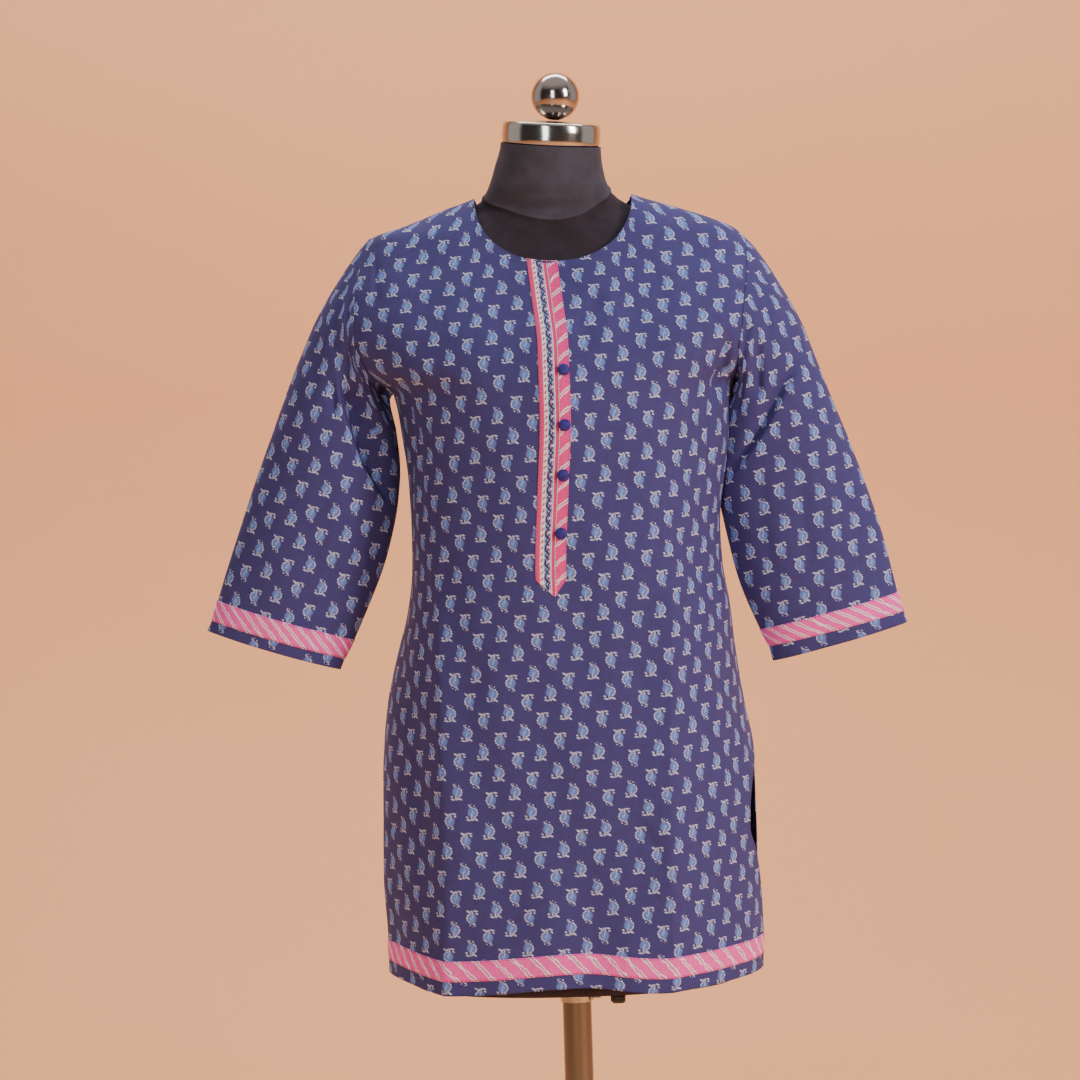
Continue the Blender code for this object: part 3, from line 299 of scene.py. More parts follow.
bodyFolds = {
    "front": (
        fold(0.0022, 0.007, (0.049, 0.824), (0.070, 0.818), (0.081, 0.802), (0.086, 0.777)),
        fold(0.0007, 0.004, (-0.183, 0.8165), (-0.110, 0.812), (0.0, 0.810), (0.088, 0.807), ends=0.6),
        fold(0.0022, 0.005, (-0.188, 0.819), (-0.170, 0.817)),
        fold(0.0040, 0.007, (0.0505, 1.342), (0.030, 1.320), (0.012, 1.300), otherWidth=0.012),
        fold(-0.0022, 0.010, (0.066, 1.336), (0.052, 1.312), (0.030, 1.290)),
        fold(0.0019, 0.0016, (-0.1765, 1.384), (-0.1775, 1.330), otherWidth=0.005),
        fold(0.0050, 0.0032, (-0.150, 1.268), (-0.1475, 1.215), (-0.1450, 1.160)),
        fold(0.0038, 0.0036, (-0.1420, 1.252), (-0.1390, 1.200), (-0.1375, 1.120)),
        fold(0.0026, 0.0045, (-0.1330, 1.285), (-0.1300, 1.215), (-0.1290, 1.150)),
        fold(0.0012, 0.006, (-0.118, 1.292), (-0.116, 1.225)),
        fold(0.0020, 0.0030, (-0.158, 1.245), (-0.150, 1.190), (-0.1455, 1.090)),
        fold(0.0050, 0.0034, (0.150, 1.265), (0.149, 1.205), (0.1465, 1.110)),
        fold(0.0040, 0.0038, (0.141, 1.275), (0.139, 1.212), (0.1375, 1.110)),
        fold(0.0028, 0.0050, (0.131, 1.270), (0.128, 1.215), (0.1265, 1.130)),
        fold(0.0075, 0.0030, (0.1590, 1.238), (0.1660, 1.262), (0.1690, 1.292), otherWidth=0.008, ends=0.3),
        fold(0.0026, 0.0036, (0.157, 1.283), (0.158, 1.262), (0.152, 1.236)),
        fold(0.0016, 0.0090, (0.113, 1.120), (0.128, 1.075), (0.150, 1.040)),
        fold(0.0016, 0.0090, (-0.105, 1.105), (-0.122, 1.060), (-0.146, 1.020)),
        fold(0.0013, 0.0120, (-0.060, 1.055), (-0.085, 0.990), (-0.092, 0.930)),
        fold(0.0013, 0.0110, (0.048, 1.060), (0.062, 1.000), (0.066, 0.940)),
        fold(0.0018, 0.0080, (-0.160, 0.965), (-0.150, 0.900), (-0.1500, 0.780)),
        fold(0.0020, 0.0080, (0.128, 0.985), (0.133, 0.900), (0.1360, 0.800)),
        fold(0.0012, 0.0080, (-0.062, 1.385), (-0.085, 1.350), (-0.098, 1.305)),
        fold(0.0012, 0.0080, (0.080, 1.395), (0.100, 1.350), (0.112, 1.300)),
    ),
    "back": (
        fold(0.0030, 0.0036, (-0.150, 1.272), (-0.1455, 1.205), (-0.1420, 1.130)),
        fold(0.0022, 0.0042, (-0.138, 1.290), (-0.1345, 1.225), (-0.1320, 1.150)),
        fold(0.0032, 0.0036, (0.152, 1.278), (0.1480, 1.212), (0.1440, 1.140)),
        fold(0.0020, 0.0044, (0.140, 1.300), (0.1375, 1.240), (0.1350, 1.165)),
        fold(0.0016, 0.0120, (-0.030, 1.345), (0.000, 1.300), (0.035, 1.272)),
        fold(0.0022, 0.0120, (0.050, 1.120), (0.070, 1.060), (0.110, 1.020)),
        fold(0.0022, 0.0110, (-0.055, 1.105), (-0.080, 1.050), (-0.118, 1.005)),
        fold(0.0016, 0.0120, (0.020, 1.080), (0.024, 0.985), (0.018, 0.880)),
        fold(0.0014, 0.0130, (-0.040, 1.040), (-0.046, 0.950), (-0.040, 0.850)),
        fold(0.0007, 0.0040, (-0.182, 0.812), (-0.060, 0.806), (0.090, 0.809), ends=0.6),
        fold(0.0018, 0.0080, (0.140, 0.940), (0.146, 0.860), (0.146, 0.780)),
        fold(0.0018, 0.0080, (-0.145, 0.950), (-0.150, 0.860), (-0.148, 0.760)),
    ),
}
sleeveFolds = {
    "left": {
        "front": (
            fold(0.0040, 0.0028, (-0.2195, 1.222), (-0.2225, 1.266), otherWidth=0.007),
            fold(0.0200, 0.0035, (-0.2140, 1.262), (-0.2060, 1.226), (-0.1925, 1.185), (-0.1690, 1.137),
                 otherWidth=0.030, ends=0.2),
            fold(0.0016, 0.0110, (-0.2320, 1.190), (-0.2400, 1.120), (-0.2560, 1.060)),
            fold(0.0012, 0.0100, (-0.2720, 1.215), (-0.2900, 1.150), (-0.3000, 1.080)),
            fold(0.0036, 0.0040, (-0.2000, 1.318), (-0.2050, 1.285), (-0.2130, 1.250)),
            fold(0.0034, 0.0036, (-0.1915, 1.384), (-0.2000, 1.345), (-0.2090, 1.310)),
            fold(0.0024, 0.0040, (-0.2000, 1.376), (-0.2140, 1.330), (-0.2260, 1.280)),
            fold(0.0016, 0.0060, (-0.2320, 1.330), (-0.2400, 1.290), (-0.2440, 1.240)),
            fold(0.0015, 0.0080, (-0.2140, 1.122), (-0.2300, 1.070), (-0.2420, 1.020)),
        ),
        "back": (
            fold(0.0060, 0.0060, (-0.2150, 1.270), (-0.1980, 1.200), (-0.1720, 1.140), otherWidth=0.018),
            fold(0.0022, 0.0100, (-0.2500, 1.250), (-0.2660, 1.160), (-0.2880, 1.070)),
        ),
    },
    "right": {
        "front": (
            fold(0.0095, 0.0016, (0.1620, 1.150), (0.1830, 1.178), (0.2030, 1.207), (0.2220, 1.240), (0.2400, 1.272),
                 otherWidth=0.008, ends=0.2),
            fold(0.0060, 0.0030, (0.1800, 1.262), (0.1850, 1.285), (0.1900, 1.315), otherWidth=0.007),
            fold(0.0060, 0.0030, (0.1740, 1.215), (0.1790, 1.245), (0.1840, 1.262), otherWidth=0.008),
            fold(0.0042, 0.0028, (0.1960, 1.226), (0.1985, 1.262), (0.1980, 1.305), otherWidth=0.006),
            fold(0.0024, 0.0050, (0.1985, 1.372), (0.2060, 1.330), (0.2080, 1.280)),
            fold(0.0018, 0.0060, (0.2180, 1.345), (0.2300, 1.300), (0.2340, 1.255)),
            fold(0.0018, 0.0100, (0.2300, 1.190), (0.2380, 1.120), (0.2460, 1.040)),
            fold(0.0014, 0.0100, (0.2680, 1.200), (0.2820, 1.130), (0.2950, 1.060)),
            fold(0.0018, 0.0080, (0.1980, 1.165), (0.1960, 1.110), (0.2140, 1.030)),
        ),
        "back": (
            fold(0.0058, 0.0060, (0.2300, 1.262), (0.2080, 1.205), (0.1720, 1.150), otherWidth=0.018),
            fold(0.0022, 0.0100, (0.2560, 1.235), (0.2680, 1.150), (0.2860, 1.060)),
        ),
    },
}


def foldDepth(flat, folds):
    depth = np.zeros(flat.shape[:-1])
    for crease in folds:
        points = np.array(crease["line"])
        best, along, signed = np.full(depth.shape, 9.0), np.zeros(depth.shape), np.zeros(depth.shape)
        for i in range(len(points) - 1):
            line = points[i + 1] - points[i]
            share = np.clip(((flat - points[i]) @ line) / (line @ line), 0, 1)
            offset = flat - (points[i] + share[..., None] * line)
            distance = np.linalg.norm(offset, axis=-1)
            closer = distance < best
            best = np.where(closer, distance, best)
            along = np.where(closer, (i + share) / (len(points) - 1), along)
            signed = np.where(closer, offset[..., 0] * line[1] - offset[..., 1] * line[0], signed)
        toRight = signed < 0
        wide = np.where(toRight, crease.get("otherWidth", crease["width"]), crease["width"])
        taper = np.clip(np.minimum(along, 1 - along) * 3.2 + crease.get("ends", 0.0), 0, 1)
        depth += crease["depth"] * np.exp(-(best / wide) ** 2) * fade(taper, 0, 1)
    return depth


def undulation(x, z, phase):  # slow unevenness of cloth that hangs free
    soft = 0.0014 * np.sin(31 * x + 9 * z + phase) * np.sin(13 * z + 1.1 + phase)
    soft = soft + 0.0009 * np.sin(57 * x - 15 * z + 2 * phase + 0.7) + 0.0006 * np.sin(96 * x + 21 * z + 3 * phase)
    hang = (1 - fade(z, 0.72, 1.02)) * (0.6 + 0.4 * np.sin(19 * x + phase))
    return soft + 0.0012 * hang * np.sin(74 * x + 4 * z + 0.4 + phase)


# Panels of the body: the rows and columns of the solids, several times finer

def anchorAngles(side, z):
    first = float(read(slit, "left" if side == "front" else "back", z))
    last = float(read(slit, "right" if side == "front" else "back", z))
    lines = [-math.pi / 2 + first, angleAt(read(frontLines, "leftFold", z), z), angleAt(cut["innerLeftX"], z)]
    if side == "front":
        middle = read(frontLines, "placket", z)
        lines += [angleAt(middle + shift, z) for shift in (-placket["border"], 0.0, placket["band"])]
    else:
        lines.append(0.0)
    lines += [angleAt(cut["innerRightX"], z), angleAt(read(frontLines, "rightFold", z), z), math.pi / 2 - last]
    return [float(line) for line in lines]


def panelSteps(side):
    steps = (5, 1, 4, 1, 1, 5, 1, 5) if side == "front" else (5, 1, 5, 5, 1, 5)
    return [count * detail["across"] for count in steps]


def spread(anchors, steps):
    filled = [np.linspace(anchors[i], anchors[i + 1], count, endpoint=False) for i, count in enumerate(steps)]
    return np.concatenate(filled + [[anchors[-1]]])


def topEdge(side):
    half, shoulder = cut["neckHalf"], cut["shoulderX"]
    middle = float(read(frontLines, "placket", cut["neckSideZ"] - cut["neckDropFront"]))
    inner = [middle - placket["border"], middle, middle + placket["band"]] if side == "front" else [0.0]
    ends = [armholePoint("left", 1.0)[0], -shoulder, -half] + inner + [half, shoulder, armholePoint("right", 1.0)[0]]
    steps = panelSteps(side)
    xs = []
    for i, count in enumerate(steps):
        shares = np.arange(count) / count
        part = mix(ends[i], ends[i + 1], shares)
        if i in (2, len(steps) - 3):  # beside the neck the columns crowd towards its corner
            turn = 1 - (shares if i == 2 else 1 - shares) ** 1.5
            start = ends[i + 1] if i == 2 else ends[i]
            first = math.asin(abs(start) / half)
            part[1:] = (math.copysign(half, ends[i] + ends[i + 1]) * np.sin(mix(first, math.pi / 2, turn)))[1:]
        xs += list(part)
    xs.append(ends[-1])
    zs = [float(neckline(side, x)) if abs(x) <= half else shoulderHeight(x) for x in xs]
    zs[0], zs[-1] = armholePoint("left", 1.0)[1], armholePoint("right", 1.0)[1]
    return np.array(xs), np.array(zs)


def gridNormals(grid, closed=False):
    across = np.roll(grid, -1, 1) - np.roll(grid, 1, 1) if closed else np.gradient(grid, axis=1)
    normal = np.cross(across, np.gradient(grid, axis=0))
    return normal / np.maximum(np.linalg.norm(normal, axis=-1, keepdims=True), 1e-12)


def panelGrid(side):
    steps = panelSteps(side)
    rows = []
    for height in spread(panelHeights, [detail["up"]] * (len(panelHeights) - 1)):
        angles = spread(anchorAngles(side, height), steps)
        rough = bodyAtAngle(side, angles, np.full(len(angles), height))
        hem = read(hemLine, "z", rough[:, 0])
        z = mix(hem, cut["underarmZ"], (height - cut["hemZ"]) / (cut["underarmZ"] - cut["hemZ"]))
        rows.append(bodyAtAngle(side, angles, z))
    first = rows[-1]
    lastX, lastZ = topEdge(side)
    share = np.linspace(0, 1, len(lastX))
    for step in range(1, detail["armholeSteps"] + 1):
        along = step / detail["armholeSteps"]
        x = mix(first[:, 0], lastX, along)
        z = mix(first[:, 2], lastZ, along)
        for hand, weight, end in (("left", (1 - share) ** 2, 0), ("right", share ** 2, -1)):
            hole = armholePoint(hand, along)
            x = x + weight * (hole[0] - mix(first[end, 0], lastX[end], along))
            z = z + weight * (hole[1] - mix(first[end, 2], lastZ[end], along))
        row = bodyAtX(side, x, z)
        if step == detail["armholeSteps"]:
            onSeam = np.abs(x) >= cut["neckHalf"] - cut["seamWidth"]
            row[onSeam, 1] = read(garment, "seam", z[onSeam])
        rows.append(row)
    grid = np.array(rows)
    sidePanel = 5 * detail["across"]
    share = np.linspace(0, 1, sidePanel + 1)[None, :, None]
    pull = (cut["sidePull"] * (1 - fade(grid[:, sidePanel // 2, 2], *cut["sidePullFade"])))[:, None, None]
    for part in (slice(0, sidePanel + 1), slice(-sidePanel - 1, None)):  # pressed flat between the fold and the side
        strip = grid[:, part]
        grid[:, part] = strip + (mix(strip[:, :1], strip[:, -1:], share) - strip) * pull
    return grid


def creased(side, grid):
    x, z = grid[..., 0], grid[..., 2]
    rowsLeft = np.arange(len(grid))[::-1, None]
    columns = np.arange(grid.shape[1])[None, :]
    free = fade(np.minimum(columns, grid.shape[1] - 1 - columns), 0, 1.5 * detail["across"]) * fade(rowsLeft, 0, 6)
    move = (undulation(x, z, 0.3 if side == "front" else 2.2) - foldDepth(grid[..., [0, 2]], bodyFolds[side])) * free
    direction = gridNormals(grid)
    if side == "back":
        direction = -direction
    else:
        middle = (1 - fade(np.abs(x), *cut["placketFade"]))[..., None]  # straight forward under the placket
        direction = mix(direction, np.array([0.0, -1.0, 0.0]), middle)
        direction /= np.linalg.norm(direction, axis=-1, keepdims=True)
    return clearOfForm(grid + direction * move[..., None])


def clearOfForm(grid):  # below the bust the cloth is pushed out to stay clear of the form
    x, y, z = np.moveaxis(grid, -1, 0)
    middle, power = read(form, "middle", z), read(form, "power", z)
    deep = np.where(y > middle, read(form, "back", z), read(form, "front", z))
    share = (np.abs(x / read(form, "half", z)) ** power + np.abs((y - middle) / deep) ** power) ** (1 / power)
    push = mix(np.maximum(1.0, (1 + cut["formGap"]) / share), 1.0, fade(z, *cut["formGapFade"]))
    return np.stack([x * push, middle + (y - middle) * push, z], -1)


def resample(points, count):
    at = np.linspace(0, 1, count)
    along = np.linspace(0, 1, len(points))
    return np.stack([np.interp(at, along, points[:, k]) for k in range(3)], -1)


def sectionLoop(row, count):
    value = dict(zip(sleeveColumns, row))
    outer = np.array([value["outerX"], 0.0, value["outerZ"]])
    inner = np.array([value["innerX"], 0.0, value["innerZ"]])
    angle = np.linspace(0, 2 * math.pi, count, endpoint=False)
    power = 2 / value["power"]
    along = np.copysign(np.abs(np.cos(angle)) ** power, np.cos(angle))
    across = np.copysign(np.abs(np.sin(angle)) ** power, np.sin(angle))
    depth = np.where(across > 0, value["front"], value["back"])
    loop = (outer + inner) / 2 + np.outer(along, (outer - inner) / 2)
    loop[:, 1] += value["middle"] - across * depth
    return loop


# How the sleeve leaves the armhole, at the underarm and at the shoulder, and how it meets the first section
sleeveHead = {"outwards": (0.022, 0.050), "down": (0.006, 0.052), "sag": 0.030, "arrive": 1.1}


def sleeveGrid(hand, front, back):
    way = -1.0 if hand == "left" else 1.0
    edge = 0 if hand == "left" else -1
    count = detail["around"]
    first = len(front) - 1 - detail["armholeSteps"]
    down = resample(front[first:, edge][::-1], count // 2 + 1)
    up = resample(back[first:, edge], count // 2 + 1)
    start = np.concatenate([down[:-1], up[:-1]]) + np.array([way * cut["seamGap"], 0, 0])
    sections = [sectionLoop(row, count) for row in sleeveCut[hand]]
    top = (1 + np.cos(np.linspace(0, 2 * math.pi, count, endpoint=False))) / 2
    head = sleeveHead
    leave = np.stack([way * mix(*head["outwards"], top), np.zeros(count), -mix(*head["down"], top)], -1)
    leave[:, 2] -= head["sag"] * (1 - np.abs(2 * top - 1))
    arrive = (sections[1] - sections[0]) * head["arrive"]
    headRows = 4 * detail["up"]
    loops = [hermite(start, sections[0], leave, arrive, step / headRows) for step in range(headRows)]
    for i, many in enumerate([2 * detail["up"]] * 5 + [detail["up"], detail["up"]]):
        here, after = sections[i], sections[i + 1]
        later = sections[min(i + 2, len(sections) - 1)]
        leaveSlope = arrive if i == 0 else (after - here if i >= 5 else (after - sections[i - 1]) / 2)
        arriveSlope = (later - here) / 2 if i < 5 else after - here
        loops += [hermite(here, after, leaveSlope, arriveSlope, step / many) for step in range(many)]
    return np.array(loops + [sections[-1]])


def creasedSleeve(hand, grid):
    isFront = np.arange(detail["around"])[None, :] < detail["around"] // 2
    onFrontHalf, onBackHalf = (foldDepth(grid[..., [0, 2]], sleeveFolds[hand][side]) for side in ("front", "back"))
    folds = np.where(isFront, onFrontHalf, onBackHalf)
    share = np.arange(detail["around"]) / detail["around"]
    faceOn = np.abs(np.sin(2 * math.pi * share))[None, :]
    rows = np.arange(len(grid))[:, None]
    soft = undulation(grid[..., 0], grid[..., 2], 4.1 if hand == "left" else 5.3) * 0.8
    normal = gridNormals(grid, closed=True)
    outward = grid - grid.mean(1, keepdims=True)
    normal *= np.sign((normal * outward).sum(-1, keepdims=True))
    move = (soft - folds * faceOn ** 0.5) * fade(rows, 0, 5) * (0.25 + 0.75 * faceOn)
    return grid + normal * move[..., None]


def sleeveForCloth(hand, grid):  # rows from the cuff up, first column at the underarm seam
    rows = grid[::-1]
    if hand == "right":
        rows = rows[:, (-np.arange(rows.shape[1])) % rows.shape[1]]
    return np.roll(rows, -(rows.shape[1] // 2), 1)


def walked(points, axis):  # the length walked along one way of a grid
    steps = np.linalg.norm(np.diff(points, axis=axis), axis=-1)
    return np.concatenate([np.zeros_like(np.take(steps, [0], axis)), np.cumsum(steps, axis)], axis)


def clothUv(grid, centre, closed=False):
    ring = np.concatenate([grid, grid[:, :1]], 1) if closed else grid
    u = walked(ring, 1)
    return np.stack([u - u[:, centre:centre + 1], walked(ring, 0)], -1)


def straightUv(side, grid):  # as clothUv, but with the grain upright: v is the way up the body at each height
    heights = np.linspace(0.65, 1.45, 400)
    climb = walked(bodyAtX(side, np.full(400, 0.06), heights), 0)
    u = walked(grid[..., :2], 1)
    centre = grid.shape[1] // 2
    u = u - u[:, centre:centre + 1] + (grid[:, centre, 0] * (1 if side == "front" else -1))[:, None]
    return np.stack([u, np.interp(grid[..., 2], heights, climb)], -1)


def quads(rows, width, closed):
    return [(r * width + c, r * width + (c + 1) % width, (r + 1) * width + (c + 1) % width, (r + 1) * width + c)
            for r in range(rows - 1) for c in range(width if closed else width - 1)]


# Materials

def color(hexText):
    channels = [int(hexText[i:i + 2], 16) / 255 for i in (1, 3, 5)]
    return tuple(c / 12.92 if c <= 0.04045 else ((c + 0.055) / 1.055) ** 2.4 for c in channels) + (1.0,)


def newMaterial(name):
    made = bpy.data.materials.new(name)
    made.use_nodes = True
    return made, made.node_tree, made.node_tree.nodes["Principled BSDF"]


def feed(tree, node, inputs):  # links or sets inputs, given as nodes, sockets or values
    for key, value in inputs.items() if isinstance(inputs, dict) else enumerate(inputs):
        if hasattr(value, "outputs"):
            value = next(output for output in value.outputs if output.enabled)
        if isinstance(value, bpy.types.NodeSocket):
            tree.links.new(value, node.inputs[key])
        else:
            node.inputs[key].default_value = value


def add(tree, kind, inputs=(), **settings):  # a node with its settings and links
    made = tree.nodes.new("ShaderNode" + kind)
    for key, value in settings.items():
        setattr(made, key, value)
    feed(tree, made, inputs)
    return made


smooth = {"interpolation_type": "SMOOTHSTEP"}


def dyed(tree, tint, layers, settings):  # colours laid over each other, each by its share
    for share, tone in layers:
        tint = add(tree, "Mix", {0: share, 6: tint, 7: color(settings[tone])}, data_type="RGBA")
    return tint


def inMm(tree):
    return add(tree, "VectorMath", [add(tree, "UVMap", uv_map="clothMap"), (1000, 1000, 1000)], operation="MULTIPLY")


def frayed(tree, flat, scale, reach):  # the place in mm, moved about a little so that printed edges are uneven
    wobble = add(tree, "TexNoise", {"Vector": flat, "Scale": scale, "Detail": 1.0}).outputs["Color"]
    wobble = add(tree, "VectorMath", [wobble, (0.5, 0.5, 0.5)], operation="SUBTRACT")
    return add(tree, "VectorMath", [wobble, (reach, reach, 0.0), flat], operation="MULTIPLY_ADD")


def inRepeat(tree, value, pitch):  # how far a place is from the middle of its repeat
    turns = add(tree, "Math", [add(tree, "Math", [value, pitch], operation="DIVIDE")], operation="FRACT")
    return add(tree, "Math", [add(tree, "Math", [turns, 0.5], operation="SUBTRACT"), pitch], operation="MULTIPLY")


def awayFrom(tree, value, line):
    return add(tree, "Math", [add(tree, "Math", [value, line], operation="SUBTRACT")], operation="ABSOLUTE")


def finishCloth(tree, shader, tint, height, settings):
    feed(tree, shader, {
        "Base Color": tint, "Roughness": settings["roughness"], "Specular IOR Level": settings["specular"],
        "Sheen Weight": settings["sheen"], "Sheen Roughness": 0.45, "Sheen Tint": color(settings["sheenTint"]),
        "Normal": add(tree, "Bump", {"Strength": settings["bump"], "Distance": settings["relief"] * mm, "Height": height}),
    })


def weave(tree, flat, period):  # plain weave: threads over and under each other, with uneven slubs
    turns = add(tree, "VectorMath", [flat, (2 * math.pi / period,) * 3], operation="MULTIPLY")
    parts = add(tree, "SeparateXYZ", [add(tree, "VectorMath", [turns], operation="SINE")])
    crossed = add(tree, "Math", [parts.outputs[0], parts.outputs[1]], operation="MULTIPLY")
    slubs = []
    for stretch in ((0.06, 0.9, 1.0), (0.9, 0.05, 1.0)):
        way = add(tree, "VectorMath", [flat, stretch], operation="MULTIPLY")
        slubs.append(add(tree, "TexNoise", {"Vector": way, "Scale": 1.0, "Detail": 2.0}))
    both = add(tree, "Math", slubs, operation="ADD")
    return add(tree, "Math", [crossed, 0.35, both], operation="MULTIPLY_ADD"), both


def shaded(tree, tint, slubs, dark, light):  # thick threads catch more light
    shade = add(tree, "MapRange", [slubs, 0.6, 1.4, dark, light])
    return add(tree, "Mix", {0: 1.0, 6: tint, 7: shade}, data_type="RGBA", blend_type="MULTIPLY")


# Block-printed cotton cambric: matt plain weave with an indigo ground and small pale flower buds. Threads are
# 0.4 mm apart in the real cloth, which the render can't show, so the weave is drawn at 1.1 mm. Shapes are
# ellipses in mm: x, y, half width, half height and turn in degrees
buti = {
    "size": 0.82, "rowPitch": 19.2, "rowShift": 15.3, "period": 57.0, "turned": (18.4, 10.2), "turnedHalf": 8.2,
    "wander": 0.9, "ground": "#45437B", "groundBlue": "#43407D", "groundRed": "#473C6E", "pale": "#DBE2FF",
    "bud": "#6989D6", "streak": "#A9CCFF", "threads": 1.1, "roughness": 0.86, "specular": 0.25, "sheen": 0.16,
    "sheenTint": "#B9B6E6", "relief": 0.16, "bump": 0.5,
    "budShapes": ((0.0, -0.5, 5.3, 5.0, 0), (-1.3, 3.4, 2.3, 3.0, 24)),
    "streakShapes": ((-0.8, -2.6, 0.75, 3.0, -10), (0.9, 0.6, 0.55, 1.9, 25)),
    "paleShapes": (
        (-1.4, -7.2, 0.6, 2.0, 0), (-6.2, -5.9, 1.4, 0.8, -35), (-4.9, -9.1, 2.3, 0.8, -10), (0.7, -8.3, 1.6, 0.75, 45),
        (3.8, -8.3, 2.6, 0.95, -30), (-2.5, 7.0, 1.5, 0.65, -30), (-3.8, 8.9, 0.6, 0.6, 0), (2.3, 7.7, 0.7, 0.7, 0),
        (-1.3, 9.5, 0.4, 0.4, 0), (3.3, -5.1, 0.7, 0.7, 0), (5.2, -3.3, 0.8, 0.8, 0), (6.0, -0.5, 0.8, 0.8, 0),
        (5.3, 2.4, 0.8, 0.8, 0), (3.4, 4.7, 0.75, 0.75, 0),
    ),
}


def nearest(tree, point, shapes):  # distance in mm to the nearest of some ellipses, negative inside
    best = None
    for x, y, wide, high, turn in shapes:
        place = {0: point, "Location": (x, y, 0), "Rotation": (0, 0, math.radians(turn)), "Scale": (wide, high, 1)}
        length = add(tree, "VectorMath", [add(tree, "Mapping", place, vector_type="TEXTURE")], operation="LENGTH")
        distance = add(tree, "Math", [length, min(wide, high), -min(wide, high)], operation="MULTIPLY_ADD")
        best = distance if best is None else add(tree, "Math", [best, distance], operation="MINIMUM")
    return best


def latticeCell(tree, u, v, shift, mark):  # place in the cell of the printed repeat, and the cell's number
    x = add(tree, "Math", [u, shift[0]], operation="SUBTRACT")
    y = add(tree, "Math", [v, shift[1]], operation="SUBTRACT")
    places, numbers = [], []
    for name, value in (("rowPitch", y), ("period", x)):
        if numbers:  # each row starts further along
            value = add(tree, "Math", [numbers[0], buti["rowShift"], x], operation="MULTIPLY_ADD")
        cell = add(tree, "Math", [value, buti[name]], operation="DIVIDE")
        cell = add(tree, "Math", [add(tree, "Math", [cell, 0.5], operation="ADD")], operation="FLOOR")
        numbers.append(cell)
        places.append(add(tree, "Math", [cell, -buti[name], value], operation="MULTIPLY_ADD"))
    return places[1], places[0], add(tree, "CombineXYZ", numbers + [mark])


def blockPrint(name, strength):
    made, tree, shader = newMaterial(name)
    settings = buti
    flat = inMm(tree)
    parts = add(tree, "SeparateXYZ", [frayed(tree, flat, 0.75, 1.5)])
    upX, upY, upCell = latticeCell(tree, parts.outputs[0], parts.outputs[1], (0.0, 0.0), 1.5)
    downX, downY, downCell = latticeCell(tree, parts.outputs[0], parts.outputs[1], settings["turned"], 7.5)
    isTurned = add(tree, "Math", [downX], operation="ABSOLUTE")
    isTurned = add(tree, "Math", [isTurned, settings["turnedHalf"]], operation="LESS_THAN")
    upright = add(tree, "CombineXYZ", [upX, upY, 0.0])
    upended = add(tree, "VectorMath", [add(tree, "CombineXYZ", [downX, downY, 0.0]), (-1, -1, 0)], operation="MULTIPLY")
    point = add(tree, "Mix", {0: isTurned, 4: upright, 5: upended}, data_type="VECTOR")
    cell = add(tree, "Mix", {0: isTurned, 4: upCell, 5: downCell}, data_type="VECTOR")
    chance = add(tree, "TexWhiteNoise", {"Vector": cell}).outputs["Color"]
    wander = add(tree, "VectorMath", [chance, (0.5, 0.5, 0.5)], operation="SUBTRACT")
    point = add(tree, "VectorMath", [wander, (2 * settings["wander"],) * 2 + (0.0,), point], operation="MULTIPLY_ADD")
    point = add(tree, "VectorMath", [point, (1 / settings["size"],) * 2 + (0,)], operation="MULTIPLY")
    shapes = (settings[part] for part in ("budShapes", "paleShapes", "streakShapes"))
    bud, leaves, streaks = (nearest(tree, point, shape) for shape in shapes)
    height, slubs = weave(tree, flat, settings["threads"])
    patchy = add(tree, "TexNoise", {"Vector": flat, "Scale": 0.42, "Detail": 3.0, "Roughness": 0.65})
    worn = add(tree, "MapRange", [patchy, 0.34, 0.60, 0.45 * strength, strength])
    cloud = add(tree, "TexNoise", {"Vector": flat, "Scale": 0.085, "Detail": 2.0})
    side = add(tree, "TexNoise", {"Vector": flat, "Scale": 0.11, "Detail": 1.0})
    ground = dyed(tree, color(settings["ground"]), (
        (add(tree, "MapRange", [cloud, 0.35, 0.65, 0.0, 0.8]), "groundBlue"),
        (add(tree, "MapRange", [side, 0.48, 0.75, 0.0, 0.6]), "groundRed"),
    ), settings)
    ground = shaded(tree, ground, slubs, 0.93, 1.07)
    rimInk = add(tree, "MapRange", [awayFrom(tree, bud, 0.35), 0.75, 0.15, 0.0, 0.9], **smooth)
    onRight = add(tree, "MapRange", [add(tree, "SeparateXYZ", [point]), -3.0, 1.5, 0.15, 0.95])
    rimInk = add(tree, "Math", [rimInk, onRight], operation="MULTIPLY")
    leafInk = add(tree, "MapRange", [leaves, 0.5, -0.3, 0.0, 1.0], **smooth)
    paleInk = add(tree, "Math", [leafInk, rimInk], operation="MAXIMUM")
    budInk = add(tree, "MapRange", [bud, 0.25, -0.45, 0.0, 0.96 * strength], **smooth)
    budWorn = add(tree, "MapRange", [worn, 0.45, 1.0, 0.72, 1.0])
    streakInk = add(tree, "MapRange", [streaks, 0.5, -0.5, 0.0, 0.9], **smooth)
    pairs = ((paleInk, worn, "pale"), (budInk, budWorn, "bud"), (streakInk, worn, "streak"))
    layers = [(add(tree, "Math", [ink, wear], operation="MULTIPLY"), tone) for ink, wear, tone in pairs]
    finishCloth(tree, shader, dyed(tree, ground, layers, settings), height, settings)
    return made


